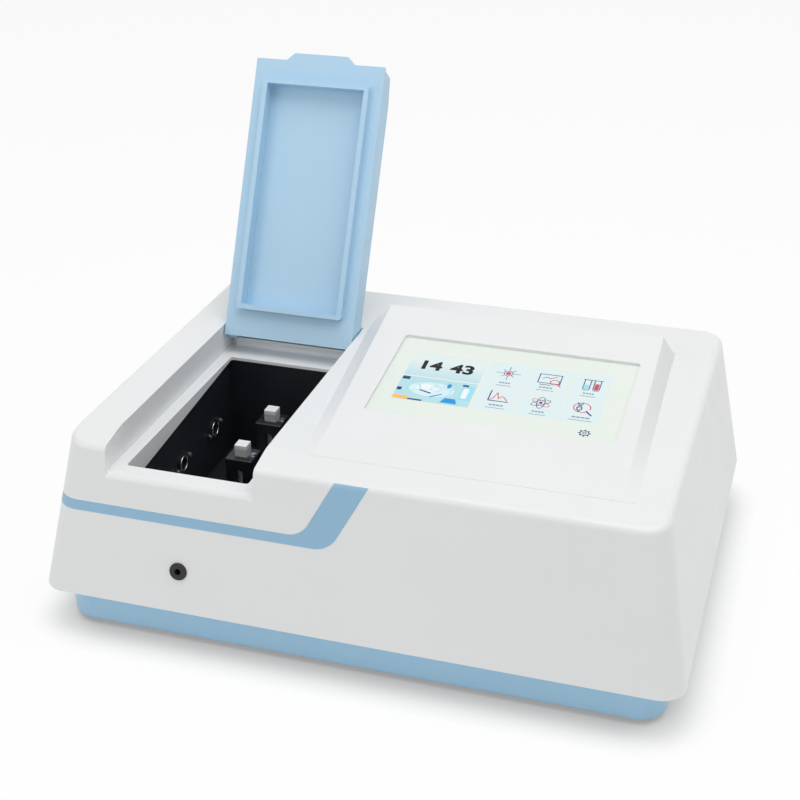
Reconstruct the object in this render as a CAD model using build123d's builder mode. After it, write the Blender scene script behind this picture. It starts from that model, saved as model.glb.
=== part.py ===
"""Double-beam benchtop spectrophotometer, 600 mm wide, with its sample lid open.

The origin is on the bench top, under the middle of the casing. X runs to the right, Y to the
back and Z up. The lid is drawn at its open stop.
"""
import os
from math import atan2, cos, hypot, radians, sin, tan

from build123d import *

os.makedirs("parts", exist_ok=True)

# Casing
casing_width = 600.0
casing_depth = 464.0
foot_height = 5.0
tray_show = 38.0
plateau_height = 195.0
side_taper = 27.6
front_taper = 27.2
rear_taper = 31.0
corner_radius = 24.0
crown_radius = 7.0
kink_radius = 60.0
facet_run = 31.0
facet_drop = 6.0
wall = 3.0
sill_thickness = 3.0
running_fit = 0.05
seat_gap = 0.3

# Base tray
tray_inset = 16.0
tray_radius = 26.0
tray_wall = 3.0
tray_upstand = 15.0
tray_gap = 0.4
post_radius = 7.0
post_margin_x = 44.0
post_margin_y = 46.0
post_top = 52.0
case_screw_radius = 2.0
foot_radius = 14.0
foot_margin_x = 65.0
foot_margin_y = 64.0

# Lid bay
bay_margin = 140.0
bay_width = 143.0
bay_depth = 30.0
opening_width = 119.0
opening_margin = 41.0
opening_radius = 3.0
skirt_wall = 2.5
skirt_front_drop = 24.0
skirt_back_drop = 3.0

# Lid and hinge
hinge_margin = 154.5
hinge_depth = 13.6
hinge_to_opening = 24.5
open_angle = 115.0
lid_gap = 1.5
lid_rest_gap = 0.6
lid_wall = 2.5
lid_tail = 2.3
lid_corner = 5.0
plate_corner = 1.5
lid_crown = 4.0
rim_clearance = 2.0
rim_thickness = 5.0
rim_drop = 8.0
pocket_rise = 8.0
ear_radius = 5.5
ear_width = 9.5
ear_reach = 14.0
hinge_pin_radius = 2.5
hinge_pin_inner = 7.5
hinge_pin_outer = 8.0
hinge_boss_radius = 7.0
hinge_boss_end = 10.0
tab_reach = 7.5
tab_base_half = 37.0
tab_tip_half = 29.0
strip_rise = 10.5
strip_lip = 2.5
strip_cove = 2.2
strip_depth = 5.2
strip_gap = 1.1
strip_side_gap = 5.5

# Display wedge
wedge_tilt = 7.0
wedge_back_margin = 137.0
wedge_tail_margin = 97.0
wedge_nose_margin = 92.0
foot_left_back_gap = 5.5
foot_left_nose_gap = 30.5
foot_left_front_gap = 38.5
ridge_left_back_gap = 32.5
ridge_left_nose_gap = 43.5
ridge_right_back_margin = 77.5
ridge_right_nose_margin = 72.0
foot_right_back_margin = 68.0
foot_right_nose_margin = 60.0
display_margin = 207.5
display_to_ridge = 121.5
window_width = 233.0
window_height = 137.0
window_radius = 3.0
glass_margin = 4.0
glass_thickness = 1.8
panel_thickness = 5.0
bracket_thickness = 1.5
display_boss_inset = 8.5
display_boss_reach = 11.5
display_boss_radius = 4.0

# Sample chamber
bench_top = 56.0
bench_thickness = 10.0
liner_wall = 2.0
liner_floor = 3.0
beam_height = 104.0
sample_to_front = 118.0
beam_spacing = 78.0
cell_offset = 4.0
port_radius = 8.6
cell_flange_radius = 10.5
cell_neck_radius = 8.5
cell_flange = 2.0
cell_neck = 9.0
cell_ear = 14.0
cell_ear_radius = 3.6
cell_ear_tilt = 12.0
small_screw_radius = 1.5
small_head_radius = 2.6
small_head_height = 1.6
lens_radius = 7.2
lens_edge = 3.0
lens_bulge = 1.2

# Cuvettes and their holders
cuvette_side = 12.5
cuvette_wall = 1.25
cuvette_floor = 1.5
cuvette_sink = 12.0
cuvette_height = 41.0
cap_height = 4.0
cap_plug = 5.0
well_clearance = 0.1
holder_width = 28.0
holder_depth = 26.0
holder_rise = 21.0
holder_plate = 4.0
aperture_width = 8.0
aperture_drop = 8.0
aperture_rise = 10.0
clip_thickness = 0.5
clip_width = 6.0
clip_drop = 16.0
clip_screw_x = 11.0

# Rod port on the front
rod_port_offset = 1.5
rod_port_height = 83.0
rod_port_flange = 8.3
rod_port_neck = 6.4
rod_port_bore = 3.0
rod_port_lip = 2.0

# Blue stripe on the front and left side
stripe_low = 126.0
stripe_high = 135.4
stripe_depth = 0.8
stripe_proud = 0.15
stripe_gap = 0.1
stripe_rear = 170.0
leg_foot_gap = 46.0
leg_head_gap = 76.0
leg_width = 31.0
leg_inner_radius = 22.0
leg_outer_radius = 25.0

# Optics
mono_gap = 20.5
mono_size = 200.0
mono_front_gap = 39.0
mono_wall = 5.0
mono_rise = 38.0
mono_cover = 3.0
entrance_inset = 48.0
slit_radius = 8.0
grating_inset = 128.0
grating_from_front = 162.0
turntable_radius = 22.0
spindle_radius = 2.5
motor_side = 35.2
motor_height = 30.0
wheel_radius = 26.0
wheel_pitch = 18.0
wheel_thickness = 3.0
wheel_setback = 13.0
filter_radius = 5.5
filter_count = 6
axle_radius = 1.5
splitter_gap = 10.0
collimator_inset = 78.0
focuser_inset = 176.0

# Lamp house
lamp_house_width = 130.0
lamp_house_depth = 86.0
lamp_house_overhang = 7.0
lamp_house_gap = 10.0
lamp_house_rise = 40.0
sheet = 1.5
source_setback = 40.0
deuterium_offset = 50.0
tungsten_offset = -38.0
fan_offset = 15.0
fan_gap = 8.0
fan_side = 60.0
fan_thickness = 15.0
fan_drop = 5.0
vent_pitch = 8.0
vent_count = 7
vent_width = 3.5

# Rear panel
panel_margin = 115.0
panel_height = 100.0
rear_panel_width = 160.0
rear_panel_height = 56.0
rear_panel_thickness = 2.0
inlet_u = -42.0
switch_u = 8.0
usb_u = 50.0
inlet_width = 27.0
inlet_tall = 19.6
socket_width = 24.2
socket_tall = 16.4
socket_depth = 16.0
rocker_width = 12.0
rocker_length = 22.0
rocker_throw = 16.0

# Values worked out from the ones above
half_width = casing_width / 2
half_depth = casing_depth / 2
casing_base = foot_height + tray_show
body_rise = plateau_height - casing_base
facet_base = plateau_height - facet_drop
tray_floor_top = foot_height + tray_wall
tray_top = casing_base + tray_upstand
tray_width = casing_width - 2 * tray_inset
tray_depth = casing_depth - 2 * tray_inset
bay_x = bay_margin - half_width
bay_right = bay_x + bay_width / 2
ledge_height = plateau_height - bay_depth
hinge_y = half_depth - hinge_margin
hinge_height = plateau_height - hinge_depth
opening_front = opening_margin - half_depth
opening_back = hinge_y - hinge_to_opening
lid_half = bay_width / 2 - lid_gap
lid_open = radians(open_angle)
lid_underside = ledge_height + lid_rest_gap - hinge_height
lid_seam = lid_underside + lid_wall
lid_top = plateau_height - hinge_height
wedge_back = half_depth - wedge_back_margin
wedge_tail = half_depth - wedge_tail_margin
wedge_nose = wedge_nose_margin - half_depth
display_x = half_width - display_margin
display_y = wedge_back - display_to_ridge
display_boss_x = window_width / 2 - display_boss_inset
display_boss_v = window_height / 2 + display_boss_reach
glass_top = wall + running_fit
panel_top = glass_top + glass_thickness + running_fit
bracket_top = panel_top + panel_thickness + seat_gap
bench_base = bench_top - bench_thickness
liner_top = ledge_height - wall
chamber_floor = bench_top + liner_floor
sample_y = opening_front + sample_to_front
reference_y = sample_y + beam_spacing
cell_x = bay_x + cell_offset
cuvette_base = beam_height - cuvette_sink
holder_top = beam_height + holder_rise
aperture_low = beam_height - aperture_drop
aperture_high = beam_height + aperture_rise
rod_port_x = bay_x + rod_port_offset
leg_inner_foot = bay_right + leg_foot_gap
leg_inner_head = bay_right + leg_head_gap
mono_left = bay_right + mono_gap
mono_right = mono_left + mono_size
mono_front = sample_y - mono_front_gap
mono_rear = mono_front + mono_size
mono_top = beam_height + mono_rise
entrance_x = mono_left + entrance_inset
grating_x = mono_left + grating_inset
grating_y = mono_front + grating_from_front
wheel_y = mono_rear - wheel_setback
splitter_x = mono_left - splitter_gap
lamp_house_left = mono_left - lamp_house_overhang
lamp_house_right = lamp_house_left + lamp_house_width
lamp_house_front = mono_rear + lamp_house_gap
lamp_house_rear = lamp_house_front + lamp_house_depth
lamp_house_top = beam_height + lamp_house_rise
source_y = lamp_house_front + source_setback
deuterium_x = entrance_x + deuterium_offset
tungsten_x = entrance_x + tungsten_offset
fan_x = entrance_x + fan_offset
fan_y = lamp_house_rear + fan_gap
fan_height = beam_height - fan_drop
panel_x = half_width - panel_margin


def rise_share(height):
    """How far up the casing a height is, from 0 at its lower edge to 1 at its top."""
    return (height - casing_base) / body_rise


def side_at(height):
    return half_width - side_taper * rise_share(height)


def front_at(height):
    return front_taper * rise_share(height) - half_depth


def rear_at(height):
    return half_depth - rear_taper * rise_share(height)


kink_y = front_at(facet_base) + facet_run
opening_y = (opening_front + opening_back) / 2
opening_length = opening_back - opening_front

# Planes that more than one piece is drawn on
front_lean = atan2(front_taper, body_rise)
rear_lean = atan2(rear_taper, body_rise)
rear_plane = Plane(
    origin=(panel_x, rear_at(panel_height), panel_height),
    x_dir=(-1, 0, 0),
    z_dir=(0, cos(rear_lean), sin(rear_lean)),
)
rod_plane = Plane(
    origin=(rod_port_x, front_at(rod_port_height), rod_port_height),
    x_dir=(1, 0, 0),
    z_dir=(0, -cos(front_lean), sin(front_lean)),
)
lid_back_dir = (0, cos(lid_open), -sin(lid_open))
lid_up_dir = (0, sin(lid_open), cos(lid_open))
lid_frame = Plane(origin=(bay_x, hinge_y, hinge_height), x_dir=(1, 0, 0), z_dir=lid_up_dir)
lid_section = Plane(origin=(bay_x, hinge_y, hinge_height), x_dir=lid_back_dir, z_dir=(1, 0, 0))


def wedge_top(y):
    return plateau_height + (y - kink_y) * tan(radians(wedge_tilt))


glass_plane = Plane(
    origin=(display_x, display_y, wedge_top(display_y)),
    x_dir=(1, 0, 0),
    z_dir=(0, -sin(radians(wedge_tilt)), cos(radians(wedge_tilt))),
)


def save(builder, name):
    """Label a finished piece and write it."""
    builder.part.label = name
    export_step(builder.part, f"parts/{name}.step")


# Forms shared by the casing, its hollow and the stripe
def facet_cutter(front_edge, kink, lean_back):
    """Points of the space above a front facet, in a side view."""
    run = kink[0] - front_edge[0]
    rise = kink[1] - front_edge[1]
    start = (front_edge[0] - lean_back * run, front_edge[1] - lean_back * rise)
    end = (kink[0] + run, kink[1] + rise)
    clear = 4 * abs(facet_run)
    return [start, end, (end[0], end[1] + clear), (start[0], start[1] + clear)]


def casing_form(inset, base):
    """The tapered body from a base height to its top, moved in by inset on every face."""
    top = plateau_height - inset
    side_in = inset * hypot(1, side_taper / body_rise)
    front_in = inset * hypot(1, front_taper / body_rise)
    rear_in = inset * hypot(1, rear_taper / body_rise)
    facet_length = hypot(facet_run, facet_drop)
    shift_y = inset * facet_drop / facet_length
    shift_z = -inset * facet_run / facet_length
    facet_front = (front_at(facet_base) + shift_y, facet_base + shift_z)
    facet_kink = (kink_y + shift_y, plateau_height + shift_z)
    with BuildPart() as form:
        for height in (base, top):
            front = front_at(height) + front_in
            rear = rear_at(height) - rear_in
            with BuildSketch(Plane.XY.offset(height)):
                with Locations((0, (front + rear) / 2)):
                    Rectangle(2 * (side_at(height) - side_in), rear - front)
        loft()
        with BuildSketch(Plane.YZ.offset(-casing_width)):
            Polygon(*facet_cutter(facet_front, facet_kink, 1.0), align=None)
        extrude(amount=2 * casing_width, mode=Mode.SUBTRACT)
        crosswise = form.edges().filter_by(Axis.X)
        kink = crosswise.filter_by(lambda e: e.center().Z > top - 1).sort_by(Axis.Y)[0]
        fillet(kink, kink_radius)
        uprights = form.edges().filter_by(lambda e: e.bounding_box().size.Z > body_rise / 2)
        fillet(uprights, corner_radius - inset)
        inner_front = front_at(facet_base) + front_in + facet_run / 4
        inner_rear = rear_at(top) - rear_in - facet_run / 4

        def on_crown(edge):
            high = edge.bounding_box().min.Z > facet_base - inset - facet_drop / 2
            crossing = abs(edge.tangent_at(0.5).X) > 0.99 and inner_front < edge.center().Y < inner_rear
            return high and not crossing

        fillet(form.edges().filter_by(on_crown), crown_radius - inset)
    return form.part


def wedge_form(inset):
    """The raised display wedge, moved in by inset, with a foot inside the casing's roof."""
    foot = plateau_height - 2 * wall
    front_left = bay_right + foot_left_front_gap
    nose = (
        wedge_nose,
        bay_right + foot_left_nose_gap,
        bay_right + ridge_left_nose_gap,
        half_width - ridge_right_nose_margin,
        half_width - foot_right_nose_margin,
    )
    back = (
        wedge_back,
        bay_right + foot_left_back_gap,
        bay_right + ridge_left_back_gap,
        half_width - ridge_right_back_margin,
        half_width - foot_right_back_margin,
    )
    stations = [
        (kink_y, front_left, front_left + wall, nose[3] + wall, nose[4]),
        nose,
        back,
        (wedge_tail, back[1], back[1] + wall, back[4] - wall, back[4]),
    ]
    with BuildPart() as form:
        for y, left, ridge_left, ridge_right, right in stations:
            across = 1.3 * inset
            y_in = inset if y < 0 else -inset
            high = plateau_height + running_fit
            if wedge_nose <= y <= wedge_back:
                high = wedge_top(y + y_in)
            with BuildSketch(Plane.XZ.offset(-(y + y_in))):
                Polygon(
                    (left + across, foot),
                    (left + across, plateau_height - inset),
                    (ridge_left + across, high - inset),
                    (ridge_right - across, high - inset),
                    (right - across, plateau_height - inset),
                    (right - across, foot),
                    align=None,
                )
        loft(ruled=True)
    return form.part


def recess_form(grow):
    """The bay that the lid shuts into, moved out by grow, open at the front and the top."""
    half = bay_width / 2 + grow
    low = ledge_height - grow
    high = plateau_height + 2 * hinge_height
    back_offset = lid_top + lid_gap + grow
    back = Plane(
        origin=(
            bay_x,
            hinge_y + back_offset * lid_up_dir[1],
            hinge_height + back_offset * lid_up_dir[2],
        ),
        x_dir=(1, 0, 0),
        z_dir=lid_up_dir,
    )
    with BuildPart() as form:
        with BuildSketch(Plane.XZ.offset(-casing_depth)):
            with Locations((bay_x, (low + high) / 2)):
                Rectangle(2 * half, high - low)
        extrude(amount=2 * casing_depth)
        split(bisect_by=back, keep=Keep.BOTTOM)
    return form.part


def stripe_band(grow):
    """The stripe's outline as a block that reaches through the front wall and the left wall."""
    leg_head = facet_base + facet_drop / 3
    slant = (leg_inner_head - leg_inner_foot) / (leg_head - stripe_high)
    low = stripe_low - grow
    high = stripe_high + grow
    foot_outer = leg_inner_foot + leg_width + grow - slant * (stripe_high - low)
    with BuildPart() as band:
        with BuildSketch(Plane.XZ.offset(-front_at(plateau_height))) as front_view:
            with BuildLine():
                Polyline(
                    (-casing_width, low),
                    (foot_outer, low),
                    (leg_inner_head + leg_width + grow, leg_head),
                    (leg_inner_head - grow, leg_head),
                    (leg_inner_foot - grow, high),
                    (-casing_width, high),
                    close=True,
                )
            make_face()
            fillet(front_view.vertices().sort_by_distance((leg_inner_foot, high, 0))[0], leg_inner_radius - grow)
            fillet(front_view.vertices().sort_by_distance((foot_outer, low, 0))[0], leg_outer_radius + grow)
        extrude(amount=casing_depth)
        side_box = Plane.YZ.offset(-casing_width)
        with BuildSketch(side_box):
            with Locations(((stripe_rear + front_at(low)) / 2, (low + high) / 2)):
                Rectangle(stripe_rear - front_at(low) + 2 * grow, high - low)
        extrude(amount=casing_width / 2)
    return band.part


def block(center_x, center_y, low, high, width, depth, radius=0.0):
    """A plain upright block, for joining to or cutting from other pieces."""
    with BuildPart() as piece:
        with BuildSketch(Plane.XY.offset(low)):
            with Locations((center_x, center_y)):
                if radius:
                    RectangleRounded(width, depth, radius)
                else:
                    Rectangle(width, depth)
        extrude(amount=high - low)
    return piece.part


def rod(plane, radius, length):
    """A round bar that starts on a plane and runs along its normal."""
    with BuildPart() as piece:
        with BuildSketch(plane):
            Circle(radius)
        extrude(amount=length)
    return piece.part


def x_plane(x, y, z):
    """A plane that faces +X, with its own X along Y."""
    return Plane(origin=(x, y, z), x_dir=(0, 1, 0), z_dir=(1, 0, 0))


def y_plane(x, y, z):
    """A plane that faces +Y."""
    return Plane(origin=(x, y, z), x_dir=(-1, 0, 0), z_dir=(0, 1, 0))


body_outer = casing_form(0.0, casing_base)
body_hollow = casing_form(wall, casing_base + sill_thickness)
wedge_outer = wedge_form(0.0)
wedge_hollow = wedge_form(wall)
bay = recess_form(0.0)
bay_walls = recess_form(wall)
post_x = half_width - post_margin_x
post_y = half_depth - post_margin_y
post_spots = [(sx * post_x, sy * post_y) for sx in (-1, 1) for sy in (-1, 1)]
display_spots = [(sx * display_boss_x, sy * display_boss_v) for sx in (-1, 1) for sy in (-1, 1)]

# The skirt round the chamber opening, deeper at the front than at the back
with BuildPart() as skirt_block:
    with BuildSketch(Plane.YZ.offset(bay_x - opening_width / 2 - skirt_wall)):
        Polygon(
            (opening_front - skirt_wall, ledge_height),
            (opening_front - skirt_wall, ledge_height - skirt_front_drop),
            (opening_back + skirt_wall, ledge_height - skirt_back_drop),
            (opening_back + skirt_wall, ledge_height),
            align=None,
        )
    extrude(amount=opening_width + 2 * skirt_wall)

# What is hollow inside the casing: the body less everything that stays solid in it
with BuildPart() as cavity:
    add(body_hollow)
    add(wedge_hollow)
    add(bay_walls, mode=Mode.SUBTRACT)
    add(skirt_block.part, mode=Mode.SUBTRACT)
    with BuildSketch(Plane.XY.offset(post_top)):
        with Locations(*post_spots):
            Circle(post_radius)
    extrude(amount=plateau_height, mode=Mode.SUBTRACT)
    for side in (-1, 1):
        with BuildSketch(x_plane(bay_x, hinge_y, hinge_height)):
            Circle(hinge_boss_radius)
        extrude(amount=side * (lid_half + hinge_boss_end), mode=Mode.SUBTRACT)
    with BuildSketch(glass_plane.offset(-bracket_top)):
        with Locations(*display_spots):
            Circle(display_boss_radius)
    extrude(amount=bracket_top, mode=Mode.SUBTRACT)

# The stripe lies in a groove of its own outline
stripe_floor = casing_form(stripe_depth, casing_base)
groove_floor = casing_form(stripe_depth + stripe_gap, casing_base)
with BuildPart() as stripe_groove:
    add(stripe_band(stripe_gap))
    add(groove_floor, mode=Mode.SUBTRACT)

with BuildPart() as upper_casing:
    add(body_outer)
    add(wedge_outer)
    add(bay, mode=Mode.SUBTRACT)
    add(cavity.part, mode=Mode.SUBTRACT)
    # Opening of the sample chamber
    with BuildSketch(Plane.XY.offset(ledge_height - skirt_front_drop - wall)):
        with Locations((bay_x, opening_y)):
            RectangleRounded(opening_width, opening_length, opening_radius)
    extrude(amount=skirt_front_drop + 2 * wall, mode=Mode.SUBTRACT)
    # Opening in the sill, round the base tray
    with BuildSketch(Plane.XY.offset(casing_base)):
        RectangleRounded(tray_width + 2 * tray_gap, tray_depth + 2 * tray_gap, tray_radius + tray_gap)
    extrude(amount=sill_thickness, mode=Mode.SUBTRACT)
    # Display window, square to the glass
    with BuildSketch(glass_plane.offset(-2 * wall)):
        RectangleRounded(window_width, window_height, window_radius)
    extrude(amount=4 * wall, mode=Mode.SUBTRACT)
    # Pilot holes for the display bracket's screws
    with BuildSketch(glass_plane.offset(-bracket_top)):
        with Locations(*display_spots):
            Circle(small_screw_radius)
    extrude(amount=bracket_top - wall / 2, mode=Mode.SUBTRACT)
    # Bores for the lid's pins
    for side in (-1, 1):
        with BuildSketch(x_plane(bay_x, hinge_y, hinge_height)):
            Circle(hinge_pin_radius + running_fit)
        extrude(amount=side * (lid_half + hinge_pin_outer + seat_gap), mode=Mode.SUBTRACT)
    # Pilot holes for the case screws
    with BuildSketch(Plane.XY.offset(post_top)):
        with Locations(*post_spots):
            Circle(case_screw_radius)
    extrude(amount=4 * post_radius, mode=Mode.SUBTRACT)
    # Hole of the rod port
    with BuildSketch(rod_plane.offset(-2 * wall)):
        Circle(rod_port_neck)
    extrude(amount=4 * wall, mode=Mode.SUBTRACT)
    # Rear cut-out behind the connector panel, and slots in front of the fan
    with BuildSketch(rear_plane.offset(-2 * wall)):
        RectangleRounded(rear_panel_width - 5 * wall, rear_panel_height - 5 * wall, wall)
    extrude(amount=4 * wall, mode=Mode.SUBTRACT)
    vent_plane = Plane(rear_plane.location)
    vent_plane.origin = (fan_x, rear_at(fan_height), fan_height)
    with BuildSketch(vent_plane.offset(-2 * wall)):
        with GridLocations(0, vent_pitch, 1, vent_count):
            SlotOverall(fan_side - 4, vent_width)
    extrude(amount=4 * wall, mode=Mode.SUBTRACT)
    add(stripe_groove.part, mode=Mode.SUBTRACT)
    # Rounded front edge of the ledge
    long_edges = upper_casing.edges().filter_by(lambda e: e.bounding_box().size.X > bay_width - 1)
    fillet(long_edges.sort_by_distance((bay_x, front_at(ledge_height), ledge_height))[0], crown_radius)
save(upper_casing, "upper_casing")

with BuildPart() as front_stripe:
    add(casing_form(-stripe_proud, casing_base))
    add(stripe_floor, mode=Mode.SUBTRACT)
    add(stripe_band(0.0), mode=Mode.INTERSECT)
save(front_stripe, "front_stripe")

# Base tray, feet and the screws that hold the casing down
tray_bottom_radius = 4.0
foot_stem_radius = 4.0
foot_stem_lip = 1.5
head_depth = 15.0
case_head_radius = 3.8
case_head_height = 4.0
foot_x = half_width - foot_margin_x
foot_y = half_depth - foot_margin_y
foot_spots = [(sx * foot_x, sy * foot_y) for sx in (-1, 1) for sy in (-1, 1)]
screw_seat = foot_height + head_depth

with BuildPart() as base_tray:
    with BuildSketch(Plane.XY.offset(foot_height)):
        RectangleRounded(tray_width, tray_depth, tray_radius)
    extrude(amount=tray_top - foot_height)
    fillet(base_tray.faces().sort_by(Axis.Z)[0].edges(), tray_bottom_radius)
    with BuildSketch(Plane.XY.offset(tray_floor_top)):
        RectangleRounded(tray_width - 2 * tray_wall, tray_depth - 2 * tray_wall, tray_radius - tray_wall)
    extrude(amount=tray_top, mode=Mode.SUBTRACT)
    with BuildSketch(Plane.XY.offset(tray_floor_top)):
        with Locations(*post_spots):
            Circle(post_radius)
    extrude(amount=post_top - tray_floor_top)
    with Locations(Plane(origin=(0, 0, foot_height), z_dir=(0, 0, -1))):
        with Locations(*post_spots):
            CounterBoreHole(case_screw_radius, case_head_radius + seat_gap, head_depth)
        with Locations(*foot_spots):
            Hole(foot_stem_radius, tray_wall)
save(base_tray, "base_tray")

with BuildPart() as feet:
    with BuildSketch(Plane.XY):
        with Locations(*foot_spots):
            Circle(foot_radius)
    extrude(amount=foot_height, taper=6)
    with BuildSketch(Plane.XY.offset(foot_height)):
        with Locations(*foot_spots):
            Circle(foot_stem_radius - running_fit)
    extrude(amount=tray_wall + foot_stem_lip)
save(feet, "feet")

with BuildPart() as case_screws:
    with BuildSketch(Plane.XY.offset(screw_seat - case_head_height)):
        with Locations(*post_spots):
            Circle(case_head_radius)
            RegularPolygon(case_head_radius / 2, 6, mode=Mode.SUBTRACT)
    extrude(amount=case_head_height)
    with BuildSketch(Plane.XY.offset(screw_seat - case_head_height / 2)):
        with Locations(*post_spots):
            Circle(case_screw_radius - running_fit)
    extrude(amount=post_top + 2 * post_radius - screw_seat + case_head_height / 2)
save(case_screws, "case_screws")


# Lid
def lid_outline(rise, inset):
    """Width, depth and middle of the lid's outline at a distance above the hinge."""
    front = front_at(rise + hinge_height) - hinge_y + inset
    rear = lid_tail - inset
    return 2 * (lid_half - inset), rear - front, (front + rear) / 2


def lid_local(shape):
    return lid_frame.to_local_coords(shape.center())


def lid_form(inset, low, crowned=True):
    """The lid's outer body from a level up to its top, moved in by inset."""
    high = lid_top - inset
    facet_length = hypot(facet_run, facet_drop)
    shift = (inset * facet_drop / facet_length, -inset * facet_run / facet_length)
    facet_front = (front_at(facet_base) - hinge_y + shift[0], facet_base - hinge_height + shift[1])
    facet_kink = (kink_y - hinge_y + shift[0], lid_top + shift[1])
    with BuildPart() as form:
        for rise in (low, high):
            width, depth, middle = lid_outline(rise, inset)
            with BuildSketch(lid_frame.offset(rise)):
                with Locations((0, middle)):
                    Rectangle(width, depth)
        loft()
        with BuildSketch(lid_section):
            Polygon(*facet_cutter(facet_front, facet_kink, 1.0), align=None)
        extrude(amount=bay_width, both=True, mode=Mode.SUBTRACT)
        if crowned:
            front_line = front_at(facet_base) - hinge_y
            crosswise = form.edges().filter_by(Axis.X)
            kink = crosswise.filter_by(lambda e: front_line + 1 < lid_local(e).Y < facet_kink[0] + 1)
            fillet(kink.filter_by(lambda e: lid_local(e).Z > high - 1), kink_radius)
            uprights = form.edges().filter_by(
                lambda e: abs(e.tangent_at(0.5).dot(Vector(*lid_up_dir))) > 0.9
                and lid_local(e).Y < facet_kink[0]
            )
            fillet(uprights, lid_corner - inset)

            def on_crown(edge):
                place = lid_local(edge)
                crossing = abs(edge.tangent_at(0.5).X) > 0.99
                middle = front_line + facet_run / 4 < place.Y < lid_tail - inset - facet_run / 4
                at_rear = place.Y > lid_tail - inset - 1
                high_up = place.Z > facet_base - hinge_height - inset - facet_drop / 2
                return high_up and not at_rear and not (crossing and middle)

            fillet(form.edges().filter_by(on_crown), lid_crown - inset)
    return form.part


def lid_side_plane(across):
    """A plane across the hinge line, at a distance from the lid's middle."""
    return Plane(origin=(bay_x + across, hinge_y, hinge_height), x_dir=lid_back_dir, z_dir=(1, 0, 0))


lid_body = lid_form(0.0, lid_seam)
lid_hollow = lid_form(lid_wall, lid_seam - lid_wall, crowned=False)
with BuildPart() as lid_shell:
    add(lid_body)
    add(lid_hollow, mode=Mode.SUBTRACT)
    for side in (-1, 1):
        with BuildSketch(lid_side_plane(side * (lid_half - ear_width))):
            Circle(ear_radius)
            with Locations((-ear_reach / 2, 0)):
                Rectangle(ear_reach, 2 * ear_radius)
        extrude(amount=side * ear_width)
        with BuildSketch(lid_side_plane(side * (lid_half - hinge_pin_inner))):
            Circle(hinge_pin_radius)
        extrude(amount=side * bay_width, mode=Mode.SUBTRACT)
save(lid_shell, "lid_shell")

rim_width = opening_width - 2 * rim_clearance
rim_length = opening_length - 2 * rim_clearance
rim_v = opening_y - hinge_y
rim_foot = lid_underside - rim_drop
pocket_roof = lid_underside + pocket_rise
with BuildPart() as lid_liner:
    for rise in (lid_underside, lid_seam):
        width, depth, middle = lid_outline(rise, 0.0)
        with BuildSketch(lid_frame.offset(rise)) as outline:
            with Locations((0, middle)):
                Rectangle(width, depth)
            fillet(outline.vertices().sort_by(Axis.Y)[0:2], plate_corner)
    loft()
    tab_front = front_at(ledge_height) - hinge_y
    with BuildSketch(lid_frame.offset(lid_underside)) as tab:
        Polygon(
            (-tab_base_half, tab_front + lid_corner),
            (-tab_base_half, tab_front),
            (-tab_tip_half, tab_front - tab_reach),
            (tab_tip_half, tab_front - tab_reach),
            (tab_base_half, tab_front),
            (tab_base_half, tab_front + lid_corner),
            align=None,
        )
        tips = tab.vertices().sort_by(Axis.Y)[0:2]
        fillet(tips, tab_reach / 3)
    extrude(amount=lid_wall)
    with BuildSketch(lid_frame.offset(rim_foot)):
        with Locations((0, rim_v)):
            RectangleRounded(rim_width, rim_length, opening_radius)
    extrude(amount=pocket_roof + lid_wall - rim_foot)
    with BuildSketch(lid_frame.offset(rim_foot)):
        with Locations((0, rim_v)):
            RectangleRounded(rim_width - 2 * rim_thickness, rim_length - 2 * rim_thickness, 1.0)
    extrude(amount=pocket_roof - rim_foot, mode=Mode.SUBTRACT)
save(lid_liner, "lid_liner")

pin_start = lid_half - hinge_pin_inner
with BuildPart() as hinge_pins:
    for side in (-1, 1):
        with BuildSketch(x_plane(bay_x + side * pin_start, hinge_y, hinge_height)):
            Circle(hinge_pin_radius)
        extrude(amount=side * (lid_half + hinge_pin_outer - pin_start))
save(hinge_pins, "hinge_pins")

# The strip's lip stands under the open lid's rear face, above a shallow cove
strip_front = hinge_y + lid_tail + strip_gap
strip_back = strip_front + strip_depth
strip_top = ledge_height + strip_rise
strip_fall = strip_depth * tan(radians(open_angle - 90))
strip_length = bay_width - 2 * strip_side_gap
with BuildPart() as hinge_strip:
    with BuildSketch(x_plane(bay_x - strip_length / 2, 0, 0)):
        with BuildLine():
            Polyline(
                (strip_front, ledge_height),
                (strip_back, ledge_height),
                (strip_back, strip_top - strip_fall),
                (strip_front, strip_top),
                (strip_front, strip_top - strip_lip),
            )
            SagittaArc((strip_front, strip_top - strip_lip), (strip_front, ledge_height), strip_cove)
        make_face()
    extrude(amount=strip_length)
save(hinge_strip, "hinge_strip")

# Sample chamber
liner_inner_width = opening_width + 2 * skirt_wall + 2 * seat_gap
liner_inner_length = opening_length + 2 * skirt_wall + 2 * seat_gap
liner_left = bay_x - liner_inner_width / 2
liner_right = bay_x + liner_inner_width / 2
beam_ys = (sample_y, reference_y)


def ear_spots(turn):
    """The two screw places of a cell's flange, tilted a little from level."""
    return [(side * cell_ear * cos(turn), side * cell_ear * sin(turn)) for side in (-1, 1)]


def left_port(y):
    return Plane(origin=(liner_left, y, beam_height), x_dir=(0, 1, 0), z_dir=(1, 0, 0))


def right_port(y):
    return Plane(origin=(liner_right, y, beam_height), x_dir=(0, -1, 0), z_dir=(-1, 0, 0))


ear_turn = radians(cell_ear_tilt)
port_planes = [left_port(y) for y in beam_ys] + [right_port(y) for y in beam_ys]

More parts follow.
